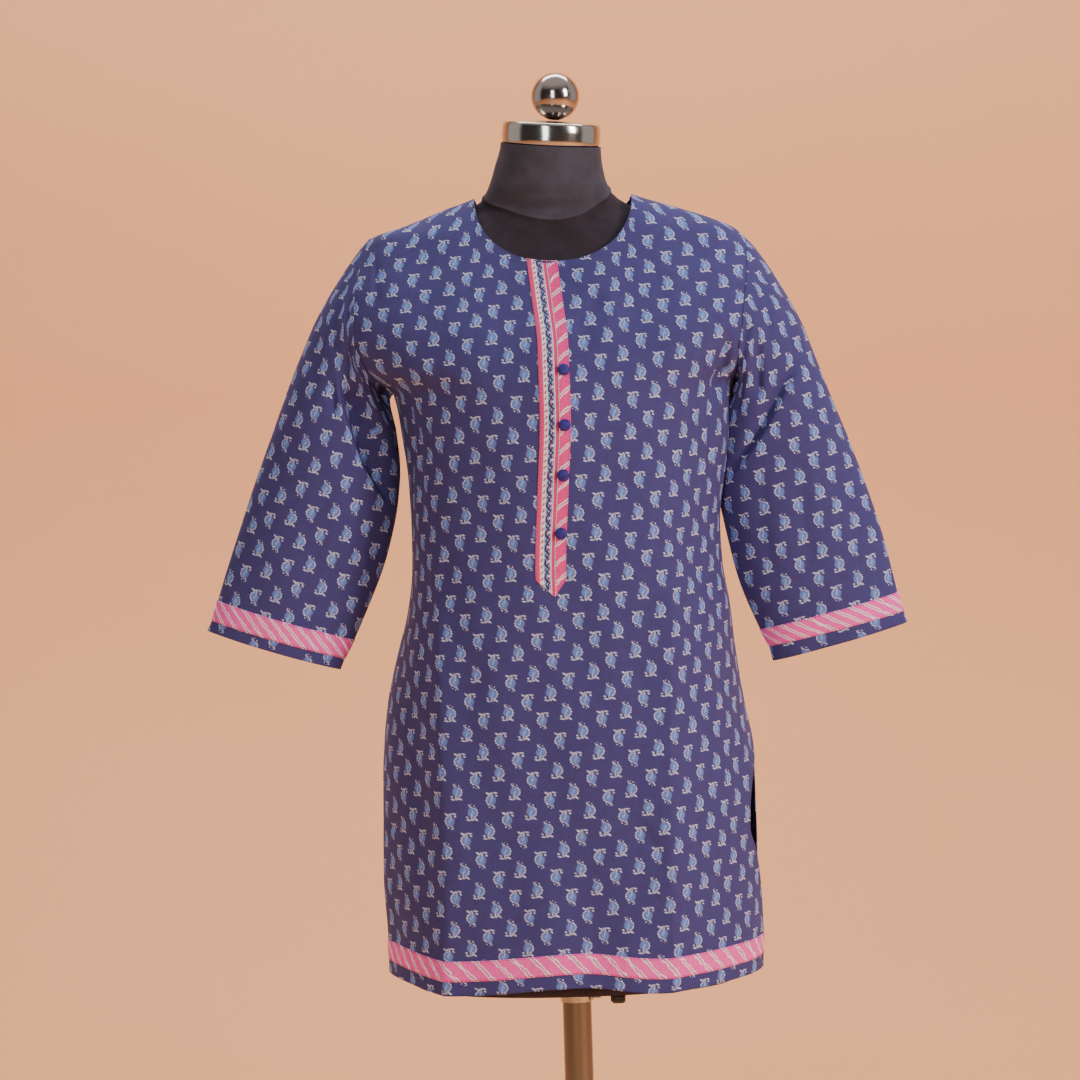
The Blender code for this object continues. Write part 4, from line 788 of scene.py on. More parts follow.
# Tie-dyed wave cotton of the bands: bright pink with pairs of wandering white lines, the threads drawn at 1.1 mm.
# Pitch, stray, apart and half are in mm, and slope is how far the lines climb
waveColumns = ("pitch", "slope", "stray", "apart", "half", "pink", "deepPink", "edgeLine")
waveCloth = {
    "hem": (18.5, 1.0, 7.0, 2.1, 1.0, "#FF64C4", "#FF4FB4", None),
    "cuff": (14.5, 1.0, 5.0, 1.8, 0.95, "#FF64C4", "#FF4FB4", None),
    "placket": (15.5, -0.86, 2.5, 1.35, 0.75, "#F4459A", "#E83888", 0.7),
}
waveFinish = {
    "white": "#FFF4FB", "gap": "#C98BAA", "threads": 1.1, "roughness": 0.82, "specular": 0.25, "sheen": 0.18,
    "sheenTint": "#F6C5DA", "relief": 0.14, "bump": 0.45,
}


def waveCotton(name, place):
    made, tree, shader = newMaterial(name)
    settings = {**waveFinish, **dict(zip(waveColumns, waveCloth[place]))}
    flat = inMm(tree)
    wobble = add(tree, "TexNoise", {"Vector": flat, "Scale": 0.16, "Detail": 2.0})
    fine = add(tree, "TexNoise", {"Vector": flat, "Scale": 0.8, "Detail": 1.0})
    parts = add(tree, "SeparateXYZ", [flat])
    along = parts.outputs[0]
    for part, share in ((parts.outputs[1], settings["slope"]), (wobble, settings["stray"]), (fine, 0.9)):
        along = add(tree, "Math", [part, share, along], operation="MULTIPLY_ADD")
    away = add(tree, "Math", [inRepeat(tree, along, settings["pitch"])], operation="ABSOLUTE")
    twist = add(tree, "TexNoise", {"Vector": flat, "Scale": 0.11, "Detail": 0.0})
    apart = add(tree, "MapRange", [twist, 0.34, 0.44, 0.35 * settings["apart"], settings["apart"]])
    height, slubs = weave(tree, flat, settings["threads"])
    depth = add(tree, "TexNoise", {"Vector": flat, "Scale": 0.22, "Detail": 3.0})
    between = add(tree, "Math", [away, apart], operation="LESS_THAN")
    whiteInk = [awayFrom(tree, away, apart), settings["half"] + 0.25, settings["half"] - 0.45, 0.0, 0.96]
    whiteInk = add(tree, "MapRange", whiteInk, **smooth)
    if settings["edgeLine"]:
        thin = add(tree, "MapRange", [awayFrom(tree, parts, settings["edgeLine"]), 0.7, 0.3, 0.0, 0.9], **smooth)
        whiteInk = add(tree, "Math", [whiteInk, thin], operation="MAXIMUM")
    tint = dyed(tree, color(settings["pink"]), (
        (add(tree, "MapRange", [depth, 0.4, 0.7, 0.0, 0.7]), "deepPink"),
        (add(tree, "Math", [between, 0.55], operation="MULTIPLY"), "gap"),
        (whiteInk, "white"),
    ), settings)
    finishCloth(tree, shader, shaded(tree, tint, slubs, 0.90, 1.08), height, settings)
    return made


# Printed border cotton beside the buttons: stripes with a chain of arcs across a strip 18.3 mm wide. Places are
# in mm from the strip's outer edge
borderCloth = {
    "pink": "#EE3F88", "white": "#F8F2FB", "slate": "#242C56", "sky": "#9FB2DC", "mauve": "#B070BE",
    "deepPink": "#E03478", "red": "#B81E48", "edges": (4.6, 8.4, 15.1), "chain": 14.0, "crossPitch": 6.0,
    "crossAt": 6.5, "starAt": 13.3, "threads": 1.1, "roughness": 0.82, "specular": 0.25, "sheen": 0.18,
    "sheenTint": "#E6D4EE", "relief": 0.14, "bump": 0.45,
}


def borderCotton(name):
    made, tree, shader = newMaterial(name)
    settings = borderCloth
    flat = inMm(tree)
    parts = add(tree, "SeparateXYZ", [frayed(tree, flat, 0.5, 0.9)])
    u, v = parts.outputs[0], parts.outputs[1]
    first, second, third = settings["edges"]
    inLink = inRepeat(tree, v, settings["chain"])
    lobe = add(tree, "Math", [inLink, math.pi / settings["chain"]], operation="MULTIPLY")
    lobe = add(tree, "Math", [lobe], operation="COSINE")
    inner = add(tree, "Math", [u, second], operation="GREATER_THAN")
    outer = add(tree, "Math", [u, third], operation="LESS_THAN")
    inChain = add(tree, "Math", [inner, outer], operation="MULTIPLY")
    body = add(tree, "Math", [lobe, -4.0, 13.6], operation="MULTIPLY_ADD")
    slant = add(tree, "Math", [add(tree, "Math", [v, 1.2, u], operation="MULTIPLY_ADD"), 4.67], operation="DIVIDE")
    petal = add(tree, "Math", [add(tree, "Math", [slant], operation="FRACT"), 0.5], operation="GREATER_THAN")
    for share in (add(tree, "Math", [u, body], operation="GREATER_THAN"), inChain, 0.9):
        petal = add(tree, "Math", [petal, share], operation="MULTIPLY")
    other = awayFrom(tree, u, add(tree, "Math", [lobe, 3.2, 9.8], operation="MULTIPLY_ADD"))
    other = add(tree, "Math", [other, 0.25], operation="ADD")
    arcs = add(tree, "Math", [awayFrom(tree, u, body), other], operation="MINIMUM")
    arcInk = add(tree, "MapRange", [arcs, 1.3, 0.75, 0.0, 0.95], **smooth)
    fromStar = add(tree, "Math", [u, settings["starAt"]], operation="SUBTRACT")
    star = add(tree, "VectorMath", [add(tree, "CombineXYZ", [fromStar, inLink, 0.0])], operation="LENGTH")
    crossX = add(tree, "Math", [u, settings["crossAt"]], operation="SUBTRACT")
    cross = add(tree, "CombineXYZ", [crossX, inRepeat(tree, v, settings["crossPitch"]), 0.0])
    arms = []
    for squeeze in ((0.45, 1.5, 0.0), (1.5, 0.45, 0.0)):
        arm = add(tree, "VectorMath", [cross, squeeze], operation="MULTIPLY")
        arms.append(add(tree, "VectorMath", [arm], operation="LENGTH"))
    tint = dyed(tree, color(settings["pink"]), (
        (add(tree, "MapRange", [u, first - 0.25, first + 0.25, 0.0, 1.0], **smooth), "white"),
        (add(tree, "MapRange", [u, second - 0.2, second + 0.2, 0.0, 1.0], **smooth), "sky"),
        (petal, "mauve"),
        (add(tree, "Math", [arcInk, inChain], operation="MULTIPLY"), "slate"),
        (add(tree, "MapRange", [star, 1.5, 0.9, 0.0, 0.95], **smooth), "white"),
        (add(tree, "MapRange", [add(tree, "Math", arms, operation="MINIMUM"), 1.1, 0.7, 0.0, 0.9], **smooth), "red"),
        (add(tree, "MapRange", [u, third - 0.2, third + 0.2, 0.0, 1.0], **smooth), "deepPink"),
        (add(tree, "MapRange", [awayFrom(tree, u, third + 0.2), 0.65, 0.3, 0.0, 0.8], **smooth), "white"),
    ), settings)
    height, slubs = weave(tree, flat, settings["threads"])
    finishCloth(tree, shader, shaded(tree, tint, slubs, 0.92, 1.06), height, settings)
    return made


# Knitted and dyed cloths read by their place on the object, with the size of a stitch in mm. The jersey is dull
# black with a faint pile, and a lighter grey copy of it covers the neck above its seam; the button's tight weave lies
# over a metal shell with a slight gloss; threads are spun polyester: grey-green, dyed like the ground and like the
# bands
plainCloths = {
    "columns": ("light", "dark", "stitch", "cloud", "roughness", "specular", "sheen", "sheenTint", "relief"),
    "cottonJersey": ("#38313A", "#302A31", 1.3, 60, 0.92, 0.2, 0.22, "#8A8590", 0.10),
    "neckJersey": ("#4A4955", "#42404A", 1.3, 60, 0.92, 0.2, 0.25, "#9C98A2", 0.10),
    "buttonCotton": ("#33298C", "#241C72", 0.8, 300, 0.6, 0.4, 0.25, "#8F86E8", 0.06),
    "paleThread": ("#A9B3B0", "#8D9998", 0.5, 300, 0.7, 0.4, 0.2, "#FFFFFF", 0.03),
    "indigoThread": ("#4C4880", "#3B376A", 0.5, 300, 0.7, 0.4, 0.2, "#B9B6E6", 0.03),
    "roseThread": ("#C9477F", "#B03A6C", 0.5, 300, 0.7, 0.4, 0.2, "#FFD0E2", 0.03),
}


def tableRows(table):  # each named row as a dictionary
    return {name: dict(zip(table["columns"], row)) for name, row in table.items() if name != "columns"}


def plainCloth(name, settings):
    made, tree, shader = newMaterial(name)
    place = add(tree, "TexCoord").outputs["Object"]
    scale = 0.314 / (settings["stitch"] * mm)  # Blender's wave repeats every 0.314 units at scale 1
    bands = []
    for way in ("X", "Z"):
        wave = {"Vector": place, "Scale": scale, "Distortion": 1.5, "Detail": 1.0, "Detail Scale": 2.0}
        bands.append(add(tree, "TexWave", wave, bands_direction=way).outputs["Fac"])
    knit = add(tree, "Math", bands, operation="MULTIPLY")
    cloud = add(tree, "TexNoise", {"Vector": place, "Scale": settings["cloud"], "Detail": 4.0})
    cloud = add(tree, "MapRange", [cloud, 0.35, 0.65, 0.0, 1.0])
    tint = dyed(tree, color(settings["dark"]), [(cloud, "light")], settings)
    finishCloth(tree, shader, tint, knit, {**settings, "bump": 0.5})
    return made


# Metals and plastic: the size of marks is in mm, and change is how far marks alter the roughness
hardFinishes = {
    "columns": ("tint", "dull", "roughness", "marks", "change", "stretch", "metallic", "relief"),
    "polishedSteel": ("#C9C5BF", "#BCB8B2", 0.13, 0.9, 0.10, (1.0, 1.0, 8.0), 1.0, 0.004),
    "mirrorSteel": ("#C2B8B4", "#B5ACA8", 0.15, 6.0, 0.06, (1.0, 1.0, 1.0), 1.0, 0.002),
    "spunSteel": ("#BDBBB7", "#B0AFAB", 0.27, 0.8, 0.14, (1.0, 1.0, 1.0), 1.0, 0.006),
    "chromePlate": ("#7D7C7C", "#747373", 0.12, 3.0, 0.05, (1.0, 1.0, 0.1), 1.0, 0.002),
    "mouldedAbs": ("#141414", "#121212", 0.38, 0.5, 0.10, (1.0, 1.0, 1.0), 0.0, 0.010),
}


def hardFinish(name, settings):
    made, tree, shader = newMaterial(name)
    place = add(tree, "TexCoord").outputs["Object"]
    if name == "spunSteel":  # marks of the spinning lathe run round the pole
        parts = add(tree, "SeparateXYZ", [place])
        radius = add(tree, "CombineXYZ", [parts.outputs[0], parts.outputs[1], 0.0])
        radius = add(tree, "VectorMath", [radius], operation="LENGTH")
        place = add(tree, "CombineXYZ", [radius, 0.0, parts.outputs[2]])
    place = add(tree, "VectorMath", [place, settings["stretch"]], operation="MULTIPLY")
    marks = add(tree, "TexNoise", {"Vector": place, "Scale": 1 / (settings["marks"] * mm), "Detail": 3.0})
    low, high = settings["roughness"] - settings["change"] / 2, settings["roughness"] + settings["change"]
    cloud = add(tree, "TexNoise", {"Vector": place, "Scale": 25.0, "Detail": 3.0})
    feed(tree, shader, {
        "Roughness": add(tree, "MapRange", [marks, 0.35, 0.7, low, high]), "Metallic": settings["metallic"],
        "Base Color": dyed(tree, color(settings["dull"]), [(cloud, "tint")], settings),
        "Normal": add(tree, "Bump", {"Strength": 0.3, "Distance": settings["relief"] * mm, "Height": marks}),
    })
    return made


cotton = blockPrint("blockPrintCambric", 1.0)
cottonInside = blockPrint("blockPrintCambricInside", 0.42)   # the dye shows through thinly on the wrong side
waves = {place: waveCotton("waveCotton" + place.capitalize(), place) for place in waveCloth}
borderPrint = borderCotton("borderPrintCotton")
cloths = {name: plainCloth(name, settings) for name, settings in tableRows(plainCloths).items()}
finishes = {name: hardFinish(name, settings) for name, settings in tableRows(hardFinishes).items()}
print("scene: materials made")


# Pieces of cloth

def newPiece(name, points, faces, materials, body="form", replaces=()):
    mesh = bpy.data.meshes.new(name)
    mesh.from_pydata(np.asarray(points).reshape(-1, 3).tolist(), [], faces)
    mesh.shade_smooth()
    for made in materials:
        mesh.materials.append(made)
    piece = bpy.data.objects.new(name, mesh)
    scene.collection.objects.link(piece)
    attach(piece, body)
    if replaces:
        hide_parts(*replaces)
    return piece


def clothPiece(name, grid, uv, materials, thickness, replaces, closed=False):
    height, width = grid.shape[:2]
    columns = width if closed else width - 1
    faces = quads(height, width, closed)
    piece = newPiece(name, grid, faces, materials, replaces=replaces)
    layer = piece.data.uv_layers.new(name="clothMap")
    corner = np.tile(np.array([0, 1, 1, 0]), len(faces))
    rows = np.repeat(np.arange(height - 1), columns * 4) + np.tile(np.array([0, 0, 1, 1]), len(faces))
    places = np.tile(np.repeat(np.arange(columns), 4), height - 1) + corner
    layer.data.foreach_set("uv", uv[rows, places if closed else np.minimum(places, width - 1)].ravel())
    solid = piece.modifiers.new("cloth thickness", "SOLIDIFY")
    solid.thickness = thickness
    solid.offset = -1.0
    solid.use_even_offset = False
    if len(materials) > 1:
        solid.material_offset = 1
    return piece


stitchWork = {"length": 0.0026, "gap": 0.0011, "radius": 0.00030, "sides": 6, "lift": 0.00007, "tip": 0.00048}


def stitches(name, lines, made):  # short threads one after another along each line of points and normals
    size = stitchWork
    angle = np.arange(size["sides"]) * 2 * math.pi / size["sides"]
    points, faces = [], []
    for path, normals in lines:
        path, normals = np.asarray(path), np.asarray(normals)
        lengths = walked(path, 0)
        for start in np.arange(size["gap"], lengths[-1] - size["length"], size["length"] + size["gap"]):
            ends = [np.array([np.interp(at, lengths, path[:, k]) for k in range(3)])
                    for at in (start, start + size["length"])]
            normal = np.array([np.interp(start, lengths, normals[:, k]) for k in range(3)])
            normal /= np.linalg.norm(normal)
            along = (ends[1] - ends[0]) / np.linalg.norm(ends[1] - ends[0])
            beside = np.cross(along, normal)
            ring = size["radius"] * (np.outer(np.cos(angle), normal) + np.outer(np.sin(angle), beside))
            base = len(points)
            points.append(ends[0] - normal * size["radius"])
            for end, way in ((ends[0], 1), (ends[1], -1)):
                points += list(end + along * way * size["tip"] + ring + normal * size["lift"])
            points.append(ends[1] - normal * size["radius"])
            last, sides = base + 2 * size["sides"] + 1, size["sides"]
            for k in range(sides):
                here, after = base + 1 + k, base + 1 + (k + 1) % sides
                faces.append((base, after, here))
                faces.append((here, after, after + sides, here + sides))
                faces.append((last, here + sides, after + sides))
    return newPiece(name, points, faces, [made])


def rowLine(grid, normals, low, share):
    return mix(grid[low], grid[low + 1], share), normals[low]


up = detail["up"]


def waveBand(kind, side, grid, normals, closed=False):  # the band near an edge, sewn along both of its edges
    band = slice(up, 2 * up + 1)
    normals = normals[band]
    grid = grid[band] + normals * (cut["trim"] + cut["trimGap"])
    uv = clothUv(grid, 0, closed=closed)
    name, node = kind + "_wave_band_" + side, kind + "_band_" + side
    trim = clothPiece(name, grid, uv, [waves[kind]], cut["trim"], [node], closed)
    edges = [rowLine(grid, normals, low, 0.5) for low in (0, up - 1)]
    stitches(kind + "_band_stitches_" + side, edges, cloths["roseThread"])


frontGrid = creased("front", panelGrid("front"))
backGrid = creased("back", panelGrid("back"))
sewing = {  # how far each line of stitches lies from the second row of the grid to the edge, and where the placket is
    "neck": 0.75, "hem": 0.9, "slit": 0.9, "cuff": 0.8, "slitRows": 7 * up, "placketFrom": -0.0295, "placketTo": 0.0030,
}
indigoLines = []
for side, grid in (("front", frontGrid), ("back", backGrid[:, ::-1])):
    uv = straightUv(side, grid)
    normals = gridNormals(grid)
    both = [cotton, cottonInside]
    piece = clothPiece("kurta_" + side, grid, uv, both, cut["cloth"], [side + "_panel"])
    clothUv(grid, grid.shape[1] // 2)
    waveBand("hem", side, grid, normals)
    neckX = grid[-1, :, 0]
    inner = np.abs(neckX) <= cut["neckHalf"]
    spans = [inner]
    if side == "front":  # the neck's stitching stops at the placket
        spans = [inner & (neckX < sewing["placketFrom"]), inner & (neckX > sewing["placketTo"])]
    indigoLines += [(mix(grid[-1], grid[-2], sewing["neck"])[span], normals[-2][span]) for span in spans]
    indigoLines.append(rowLine(grid, normals, 0, sewing["hem"]))
    rows = slice(0, sewing["slitRows"])
    for column, beside in ((0, 1), (-1, -2)):
        indigoLines.append((mix(grid[rows, column], grid[rows, beside], sewing["slit"]), normals[rows, beside]))
print("scene: panels and hem bands made")
for hand in ("left", "right"):
    grid = sleeveForCloth(hand, creasedSleeve(hand, sleeveGrid(hand, frontGrid, backGrid)))
    uv = clothUv(grid, grid.shape[1] // 2, closed=True)
    normals = gridNormals(grid, closed=True)
    piece = clothPiece("kurta_sleeve_" + hand, grid, uv, both, cut["cloth"], ["sleeve_" + hand], True)
    waveBand("cuff", hand, grid, normals, closed=True)
    indigoLines.append(rowLine(grid, normals, 0, sewing["cuff"]))
stitches("kurta_stitches", indigoLines, cloths["indigoThread"])
print("scene: sleeves and cuffs made")


# Placket: two strips that lie on the front, folded to a point at the lower end

def onFront(x, z):
    point = bodyAtX("front", x, z)
    point[..., 1] -= undulation(x, z, 0.3) - foldDepth(point[..., [0, 2]], bodyFolds["front"])
    return point


def placketStrip(name, fromShift, toShift, made, node):
    across = np.linspace(0, 1, placket["columns"] + 1)[None, :]
    share = np.linspace(0, 1, placket["rows"])[:, None]
    z = mix(placket["lowest"], placket["topZ"], share) + 0 * across
    for _ in range(4):  # the top follows the neckline
        narrow = np.clip((z - placket["tipZ"]) / placket["tipLength"], 0, 1)
        x = read(frontLines, "placket", z) + mix(fromShift, toShift, across) * narrow
        z = mix(placket["lowest"], neckline("front", x[-1:]) + placket["topGap"], share) + 0 * across
    grid = onFront(x, z)
    normals = gridNormals(grid)
    grid = grid + normals * (cut["trim"] + cut["trimGap"])
    u = -fromShift * (1 - narrow * (1 - across)) if fromShift < 0 else toShift * narrow * across
    uv = np.stack([u, walked(grid, 0)], -1)
    piece = clothPiece(name, grid, uv, [made], cut["trim"], [node])
    return grid, normals


def columnLine(strip, column, beside, share):
    grid, normals = strip
    return mix(grid[:, column], grid[:, beside], share), normals[:, column]


gap = placket["middleGap"]
border = placketStrip("placket_border_strip", -placket["border"], -gap, borderPrint, "placket_border")
band = placketStrip("placket_wave_strip", gap, placket["band"], waves["placket"], "placket_band")
stitches("placket_stitches_left", [columnLine(border, 0, 1, 0.35)], cloths["paleThread"])
stitches("placket_stitches_right", [columnLine(band, -1, -2, 0.6), columnLine(band, 0, 1, 0.9)], cloths["roseThread"])


# Turned pieces and the form

# A piece turned from a profile of (radius, height) from the top down
def turned(name, profile, made, place, body, replaces, around=96, flutes=None):
    profile = np.array(profile)
    angle = np.linspace(0, 2 * math.pi, around, endpoint=False)
    radius = np.repeat(profile[:, :1], around, 1)
    if flutes:
        wave = flutes["depth"] * (0.5 - 0.5 * np.cos(flutes["count"] * angle)) ** 2
        radius = radius - wave[None, :] * (profile[:, :1] > flutes["from"])
    points = np.stack([radius * np.cos(angle), radius * np.sin(angle), np.repeat(profile[:, 1:], around, 1)], -1)
    first, last = points[0].mean(0), points[-1].mean(0)
    flat = np.concatenate([points.reshape(-1, 3), [first], [last]])
    flat = np.array([place @ Vector(point) for point in flat])
    faces, count = [], len(profile)
    for r in range(count - 1):
        for c in range(around):
            d = (c + 1) % around
            faces.append((r * around + d, r * around + c, (r + 1) * around + c, (r + 1) * around + d))
    for c in range(around):
        d = (c + 1) % around
        faces.append((count * around, c, d))
        faces.append((count * around + 1, (count - 1) * around + d, (count - 1) * around + c))
    return newPiece(name, flat, faces, [made], body, replaces)


def rounded(corners, radius, steps=6):  # a profile with its inner corners rounded
    points = [corners[0]]
    for before, here, after in zip(corners, corners[1:], corners[2:]):
        before, here, after = (np.array(point, float) for point in (before, here, after))
        reach = min(radius, np.linalg.norm(here - before) * 0.45, np.linalg.norm(after - here) * 0.45)
        start = here + (before - here) / np.linalg.norm(before - here) * reach
        end = here + (after - here) / np.linalg.norm(after - here) * reach
        for t in np.linspace(0, 1, steps):
            points.append(tuple((1 - t) ** 2 * start + 2 * t * (1 - t) * here + t * t * end))
    return points + [corners[-1]]


buttonCut = {
    "radius": 0.0060, "height": 0.0042, "under": -0.0010, "foot": -0.0018, "steps": 10, "lift": 0.0023, "reach": 0.003,
}
dome = [(buttonCut["radius"] * math.cos(a), buttonCut["height"] * (0.30 + 0.70 * math.sin(a)) - 0.001)
        for a in np.linspace(math.pi / 2 - 0.05, -0.35, buttonCut["steps"])]
dome += [(buttonCut["radius"] * 0.86, buttonCut["under"]), (buttonCut["radius"] * 0.30, buttonCut["foot"])]
gathers = {"count": 9, "depth": 0.00018, "from": buttonCut["radius"] * 0.8}
for number in "1234":
    low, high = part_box("button_" + number)
    x, _, z = (Vector(low) + Vector(high)) / 2
    reach = buttonCut["reach"]
    near = onFront(np.array([x, x - reach, x + reach, x, x]), np.array([z, z, z, z - reach, z + reach]))
    normal = Vector(np.cross(near[2] - near[1], near[4] - near[3])).normalized()
    facing = normal.to_track_quat("Z", "Y").to_matrix().to_4x4()
    place = Matrix.Translation(Vector(near[0]) + normal * buttonCut["lift"]) @ facing
    turned("covered_button_" + number, dome, cloths["buttonCotton"], place, "form", ["button_" + number],
           40, gathers)
print("scene: placket and buttons made")

formCut = {
    "around": 144, "bodyRows": 90, "neckRows": 40, "tiltRight": math.radians(4.4), "tiltForward": math.radians(5.0),
    "tiltFrom": 1.455, "bottom": 0.652, "split": 1.385, "top": 1.4895, "neckSeam": 0.0012, "neckSeamWidth": 0.0022,
    "middleSeam": 0.0004, "middleSeamWidth": 0.0012, "neckY": 0.004, "inward": 0.0001, "bore": 0.0151, "boreTop": 1.12,
}
# The seam at the root of the neck: its height by the turn round the neck, from the right side by the back to the front
neckSeam = {
    "columns": ("turn", "z"),
    "rows": (
        (-180, 1.4400), (-155, 1.4290), (-130, 1.4195), (-110, 1.4155), (-88, 1.4140), (-66, 1.4160), (-45, 1.4210),
        (-24, 1.4330), (0, 1.4450), (45, 1.446), (90, 1.446), (135, 1.444), (180, 1.4400),
    ),
}


def formPoint(angle, z):
    power = 2 / read(form, "power", z)
    x = np.copysign(np.abs(np.cos(angle)) ** power, np.cos(angle)) * read(form, "half", z)
    y = np.copysign(np.abs(np.sin(angle)) ** power, np.sin(angle))
    y = y * np.where(y > 0, read(form, "back", z), read(form, "front", z))
    slant = y * math.tan(formCut["tiltForward"]) - x * math.tan(formCut["tiltRight"])
    height = z + slant * fade(z, formCut["tiltFrom"], formCut["top"])
    return np.stack([x + read(form, "lean", z), read(form, "middle", z) + y, height + 0 * x], -1)


def seamHeight(points):
    return read(neckSeam, "z", np.degrees(np.arctan2(points[..., 1] - formCut["neckY"], points[..., 0])))


size = formCut
around = size["around"]
angle = np.linspace(0, 2 * math.pi, around, endpoint=False)[None, :]
seamZ = np.full(angle.shape, 1.43)
for _ in range(12):  # the height at which each column meets the seam of the neck
    spot = formPoint(angle, seamZ)
    seamZ = seamZ + (seamHeight(spot) - spot[..., 2]) * 0.8
low, high = (np.linspace(0, 1, size[part])[:, None] for part in ("bodyRows", "neckRows"))
body = mix(size["bottom"], size["split"], low[:-1]) + 0 * seamZ
grid = formPoint(angle, np.concatenate([body, mix(size["split"], seamZ, high[:-1]), mix(seamZ, size["top"], high)]))
normals = gridNormals(grid, closed=True)
offNeckSeam = (grid[..., 2] - seamHeight(grid)) / size["neckSeamWidth"]
ridge = size["neckSeam"] * (np.exp(-offNeckSeam ** 2) - 0.7 * np.exp(-(offNeckSeam + 1.7) ** 2))
onMiddle = np.exp(-(grid[..., 0] / size["middleSeamWidth"]) ** 2) * (offNeckSeam < 0)
grid = grid + normals * (ridge - size["middleSeam"] * onMiddle - size["inward"])[..., None]
faces = quads(len(grid), around, True)
ends = [np.full(around, size[end]) for end in ("bottom", "boreTop")]
hole = [np.stack([size["bore"] * np.cos(angle[0]), size["bore"] * np.sin(angle[0]), end], -1) for end in ends]
points = np.concatenate([grid.reshape(-1, 3), *hole, [grid[-1].mean(0)], [[0, 0, size["boreTop"]]]])
under = len(grid) * around
roof, crown = under + around, under + 2 * around
for c in range(around):
    d = (c + 1) % around
    faces += [(d, c, under + c, under + d), (under + d, under + c, roof + c, roof + d), (roof + d, roof + c, crown + 1)]
    faces.append(((len(grid) - 1) * around + c, (len(grid) - 1) * around + d, crown))
jerseys = [cloths["cottonJersey"], cloths["neckJersey"]]
formPiece = newPiece("form_jersey", points, faces, jerseys, replaces=["form_body"])
above = np.repeat(np.arange(len(grid) - 1) >= size["bodyRows"] + size["neckRows"] - 2, around)
for polygon, isNeck in zip(formPiece.data.polygons, above):
    polygon.material_index = int(isNeck)

upwards = Vector((math.tan(size["tiltRight"]), -math.tan(size["tiltForward"]), 1.0)).normalized()
tilt = Vector((0.0, 0.0, 1.0)).rotation_difference(upwards).to_matrix().to_4x4()
steel = {
    "gap": 0.0003, "capAt": (-0.0005, -0.001), "ballRadius": 0.0238, "ballShift": 0.0023, "ballFlat": 0.20,
    "cap": ((0.0006, 0.0235), (0.0300, 0.0234), (0.0476, 0.0222), (0.0490, 0.0150), (0.0490, 0.0040),
            (0.0480, 0.0), (0.0400, 0.0)),
}
capSeat = Vector((*steel["capAt"], size["top"])) + upwards * steel["gap"]
place = Matrix.Translation(capSeat) @ tilt
profile = rounded(list(steel["cap"]), 0.0050, 8)
turned("neck_cap_steel", profile, finishes["polishedSteel"], place, "form", ["neck_cap"], 128)
radius, quarter = steel["ballRadius"], math.pi / 2
angles = np.linspace(quarter - 0.02, steel["ballFlat"] - quarter, 56)
profile = [(radius * math.cos(a), radius * math.sin(a)) for a in angles]
beside = upwards.cross(Vector((0.0, 1.0, 0.0))).normalized()
ballSeat = capSeat + upwards * (steel["cap"][0][1] + steel["gap"] + radius) - beside * steel["ballShift"]
place = Matrix.Translation(ballSeat) @ tilt
turned("finial_ball", profile, finishes["mirrorSteel"], place, "form", ["finial"], 96)
screw = {
    "z": 0.6385, "grip": {"count": 15, "depth": 0.0009, "from": 0.0088},
    "profile": [(0.0001, 0.0490), (0.0096, 0.0490), (0.0112, 0.0465), (0.0112, 0.0370), (0.0084, 0.0340),
                (0.0030, 0.0340), (0.0030, 0.0154), (0.0001, 0.0154)],
}
place = Matrix.Translation((0.0, 0.0, screw["z"])) @ Matrix.Rotation(quarter, 4, "Y")
profile = rounded(screw["profile"], 0.0012, 5)
turned("clamp_knob", profile, finishes["mouldedAbs"], place, "screw", ["thumb_screw"], 120, screw["grip"])
tube = {"radius": 0.0146, "bottom": 0.0045, "top": 1.0}
corners = [(0.0001, tube["top"]), (tube["radius"], tube["top"]), (tube["radius"], tube["bottom"]), (0.0001, tube["bottom"])]
profile = rounded(corners, 0.0012, 5)
profile[6:6] = [(tube["radius"], z) for z in np.linspace(0.99, 0.02, 40)]
turned("pole_tube", profile, finishes["chromePlate"], Matrix(), "pole", ["pole"], 72)
plate = [(0.0151, 0.0042), (0.0151, 0.0450), (0.0260, 0.0450), (0.0280, 0.0220), (0.0420, 0.0130), (0.1680, 0.0100),
         (0.1800, 0.0060), (0.1800, 0.0), (0.0001, 0.0)]
profile = [(0.0001, 0.0042)] + rounded(plate, 0.0035, 6)
turned("stand_base", profile, finishes["spunSteel"], Matrix(), "base", ["base"], 144)
collarMesh = nodes["collar"].data
collarMesh.materials.clear()
collarMesh.materials.append(finishes["polishedSteel"])
print("scene: form and stand made")

# Camera: at the photograph's height and distance, turned down and rolled as it was
view = {
    "distance": 3.4, "height": 1.30, "focalPixels": 3408, "frame": 1080, "downPixels": 203.4, "rightPixels": 23.1,
    "roll": 1.75,
}
cameraData = bpy.data.cameras.new("camera")
cameraData.sensor_width = 36.0
cameraData.lens = view["focalPixels"] / view["frame"] * 36.0
camera = bpy.data.objects.new("camera", cameraData)
scene.collection.objects.link(camera)
scene.camera = camera
pitch = math.atan(view["downPixels"] / view["focalPixels"])
yaw = math.atan(view["rightPixels"] / view["focalPixels"])
turn = Matrix.Rotation(yaw, 4, "Z") @ Matrix.Rotation(math.pi / 2 - pitch, 4, "X")
turn = turn @ Matrix.Rotation(math.radians(-view["roll"]), 4, "Z")
camera.matrix_world = Matrix.Translation((0.0, -view["distance"], view["height"])) @ turn

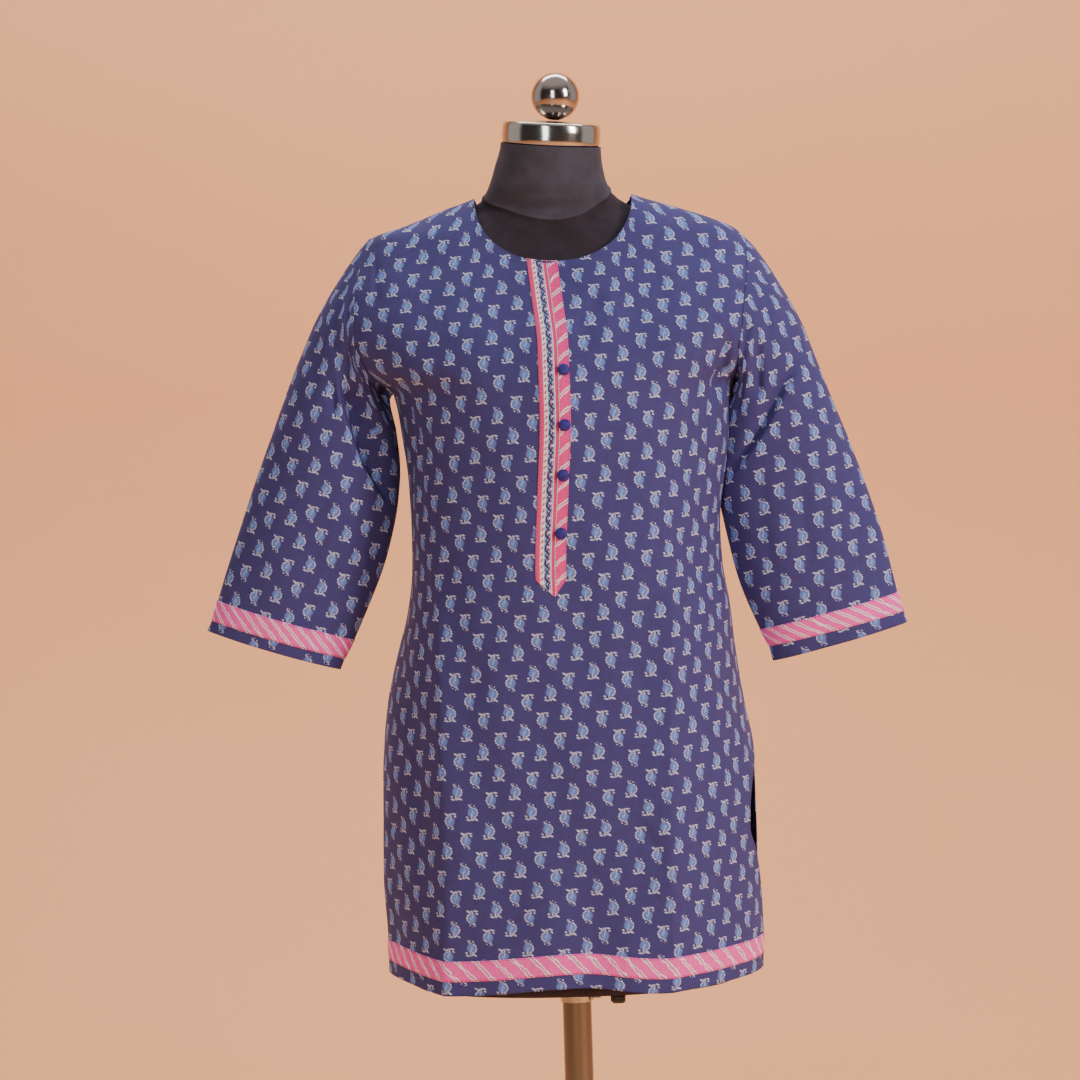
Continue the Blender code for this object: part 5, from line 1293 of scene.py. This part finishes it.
# Room: a pale floor that runs up into a painted backdrop
room = {
    "half": 6.0, "front": -6.0, "bendFrom": 2.2, "bend": 1.2, "top": 6.0, "paint": "#FFBF8A", "paintDark": "#FAB884",
    "patches": 1.2, "dim": "#524C4C", "pale": "#F1E4E0", "strength": 0.62,
}
profile = [(room["front"], 0.0), (room["bendFrom"], 0.0)]
profile += [(room["bendFrom"] + room["bend"] * math.sin(a), room["bend"] * (1 - math.cos(a)))
            for a in np.linspace(0.1, math.pi / 2, 16)]
profile.append((room["bendFrom"] + room["bend"], room["top"]))
floorMesh = bpy.data.meshes.new("floor")
floorMesh.from_pydata([(x, y, z) for y, z in profile for x in (-room["half"], room["half"])], [],
                      [(2 * i, 2 * i + 1, 2 * i + 3, 2 * i + 2) for i in range(len(profile) - 1)])
floorMesh.shade_smooth()
paint, tree, shader = newMaterial("mattWallPaint")   # rolled emulsion, slightly cloudy
clouds = add(tree, "TexNoise", {"Vector": add(tree, "TexCoord").outputs["Object"], "Scale": room["patches"], "Detail": 3.0})
tint = dyed(tree, color(room["paint"]), [(clouds, "paintDark")], room)
feed(tree, shader, {"Base Color": tint, "Roughness": 0.95, "Specular IOR Level": 0.1})
fromBehind = add(tree, "NewGeometry").outputs["Backfacing"]   # clear from behind, so the object's back can be looked at
seen = add(tree, "MixShader", [fromBehind, shader, add(tree, "BsdfTransparent")])
feed(tree, tree.nodes["Material Output"], {"Surface": seen})
floorMesh.materials.append(paint)
floor = bpy.data.objects.new("floor", floorMesh)
scene.collection.objects.link(floor)

lights = (
    {"name": "key", "at": (3.05, -2.45, 2.4), "wide": 0.8, "high": 2.0, "power": 130, "tint": "#FFF3EE"},
    {"name": "front", "at": (-0.9, -3.9, 2.0), "wide": 0.8, "high": 2.4, "power": 44, "tint": "#F2F9FA"},
    {"name": "backdropGlow", "at": (0.0, 1.3, 4.4), "wide": 4.0, "high": 1.5, "power": 150, "tint": "#FFFFFF",
     "towards": (0.0, 3.4, 1.0)},
)
for light in lights:
    data = bpy.data.lights.new(light["name"], "AREA")
    data.shape = "RECTANGLE"
    data.size, data.size_y = light["wide"], light["high"]
    data.energy = light["power"]
    data.color = color(light["tint"])[:3]
    lamp = bpy.data.objects.new(light["name"], data)
    lamp.location = light["at"]
    towards = Vector(light.get("towards", (0.0, 0.0, 1.1)))
    lamp.rotation_euler = (towards - Vector(light["at"])).to_track_quat("-Z", "Y").to_euler()
    scene.collection.objects.link(lamp)
world = bpy.data.worlds.new("softWorld")   # a dim room before the object, with pale walls at both sides
world.use_nodes = True
tree = world.node_tree
parts = add(tree, "SeparateXYZ", [add(tree, "TexCoord").outputs["Generated"]])
behind = add(tree, "Math", [parts.outputs[1], -1.0], operation="MULTIPLY")
aside = add(tree, "Math", [parts.outputs[0], behind], operation="ARCTAN2")
aside = add(tree, "Math", [aside], operation="ABSOLUTE")
walls = add(tree, "MapRange", [aside, 1.25, 1.45, 0.0, 1.0], **smooth)
above = add(tree, "MapRange", [parts.outputs[2], 0.45, 0.8, 0.0, 1.0])
share = add(tree, "Math", [walls, above], operation="MAXIMUM")
tint = dyed(tree, color(room["dim"]), [(share, "pale")], room)
feed(tree, tree.nodes["Background"], {"Color": tint, "Strength": room["strength"]})
scene.world = world
print("scene: camera, room and lights made")
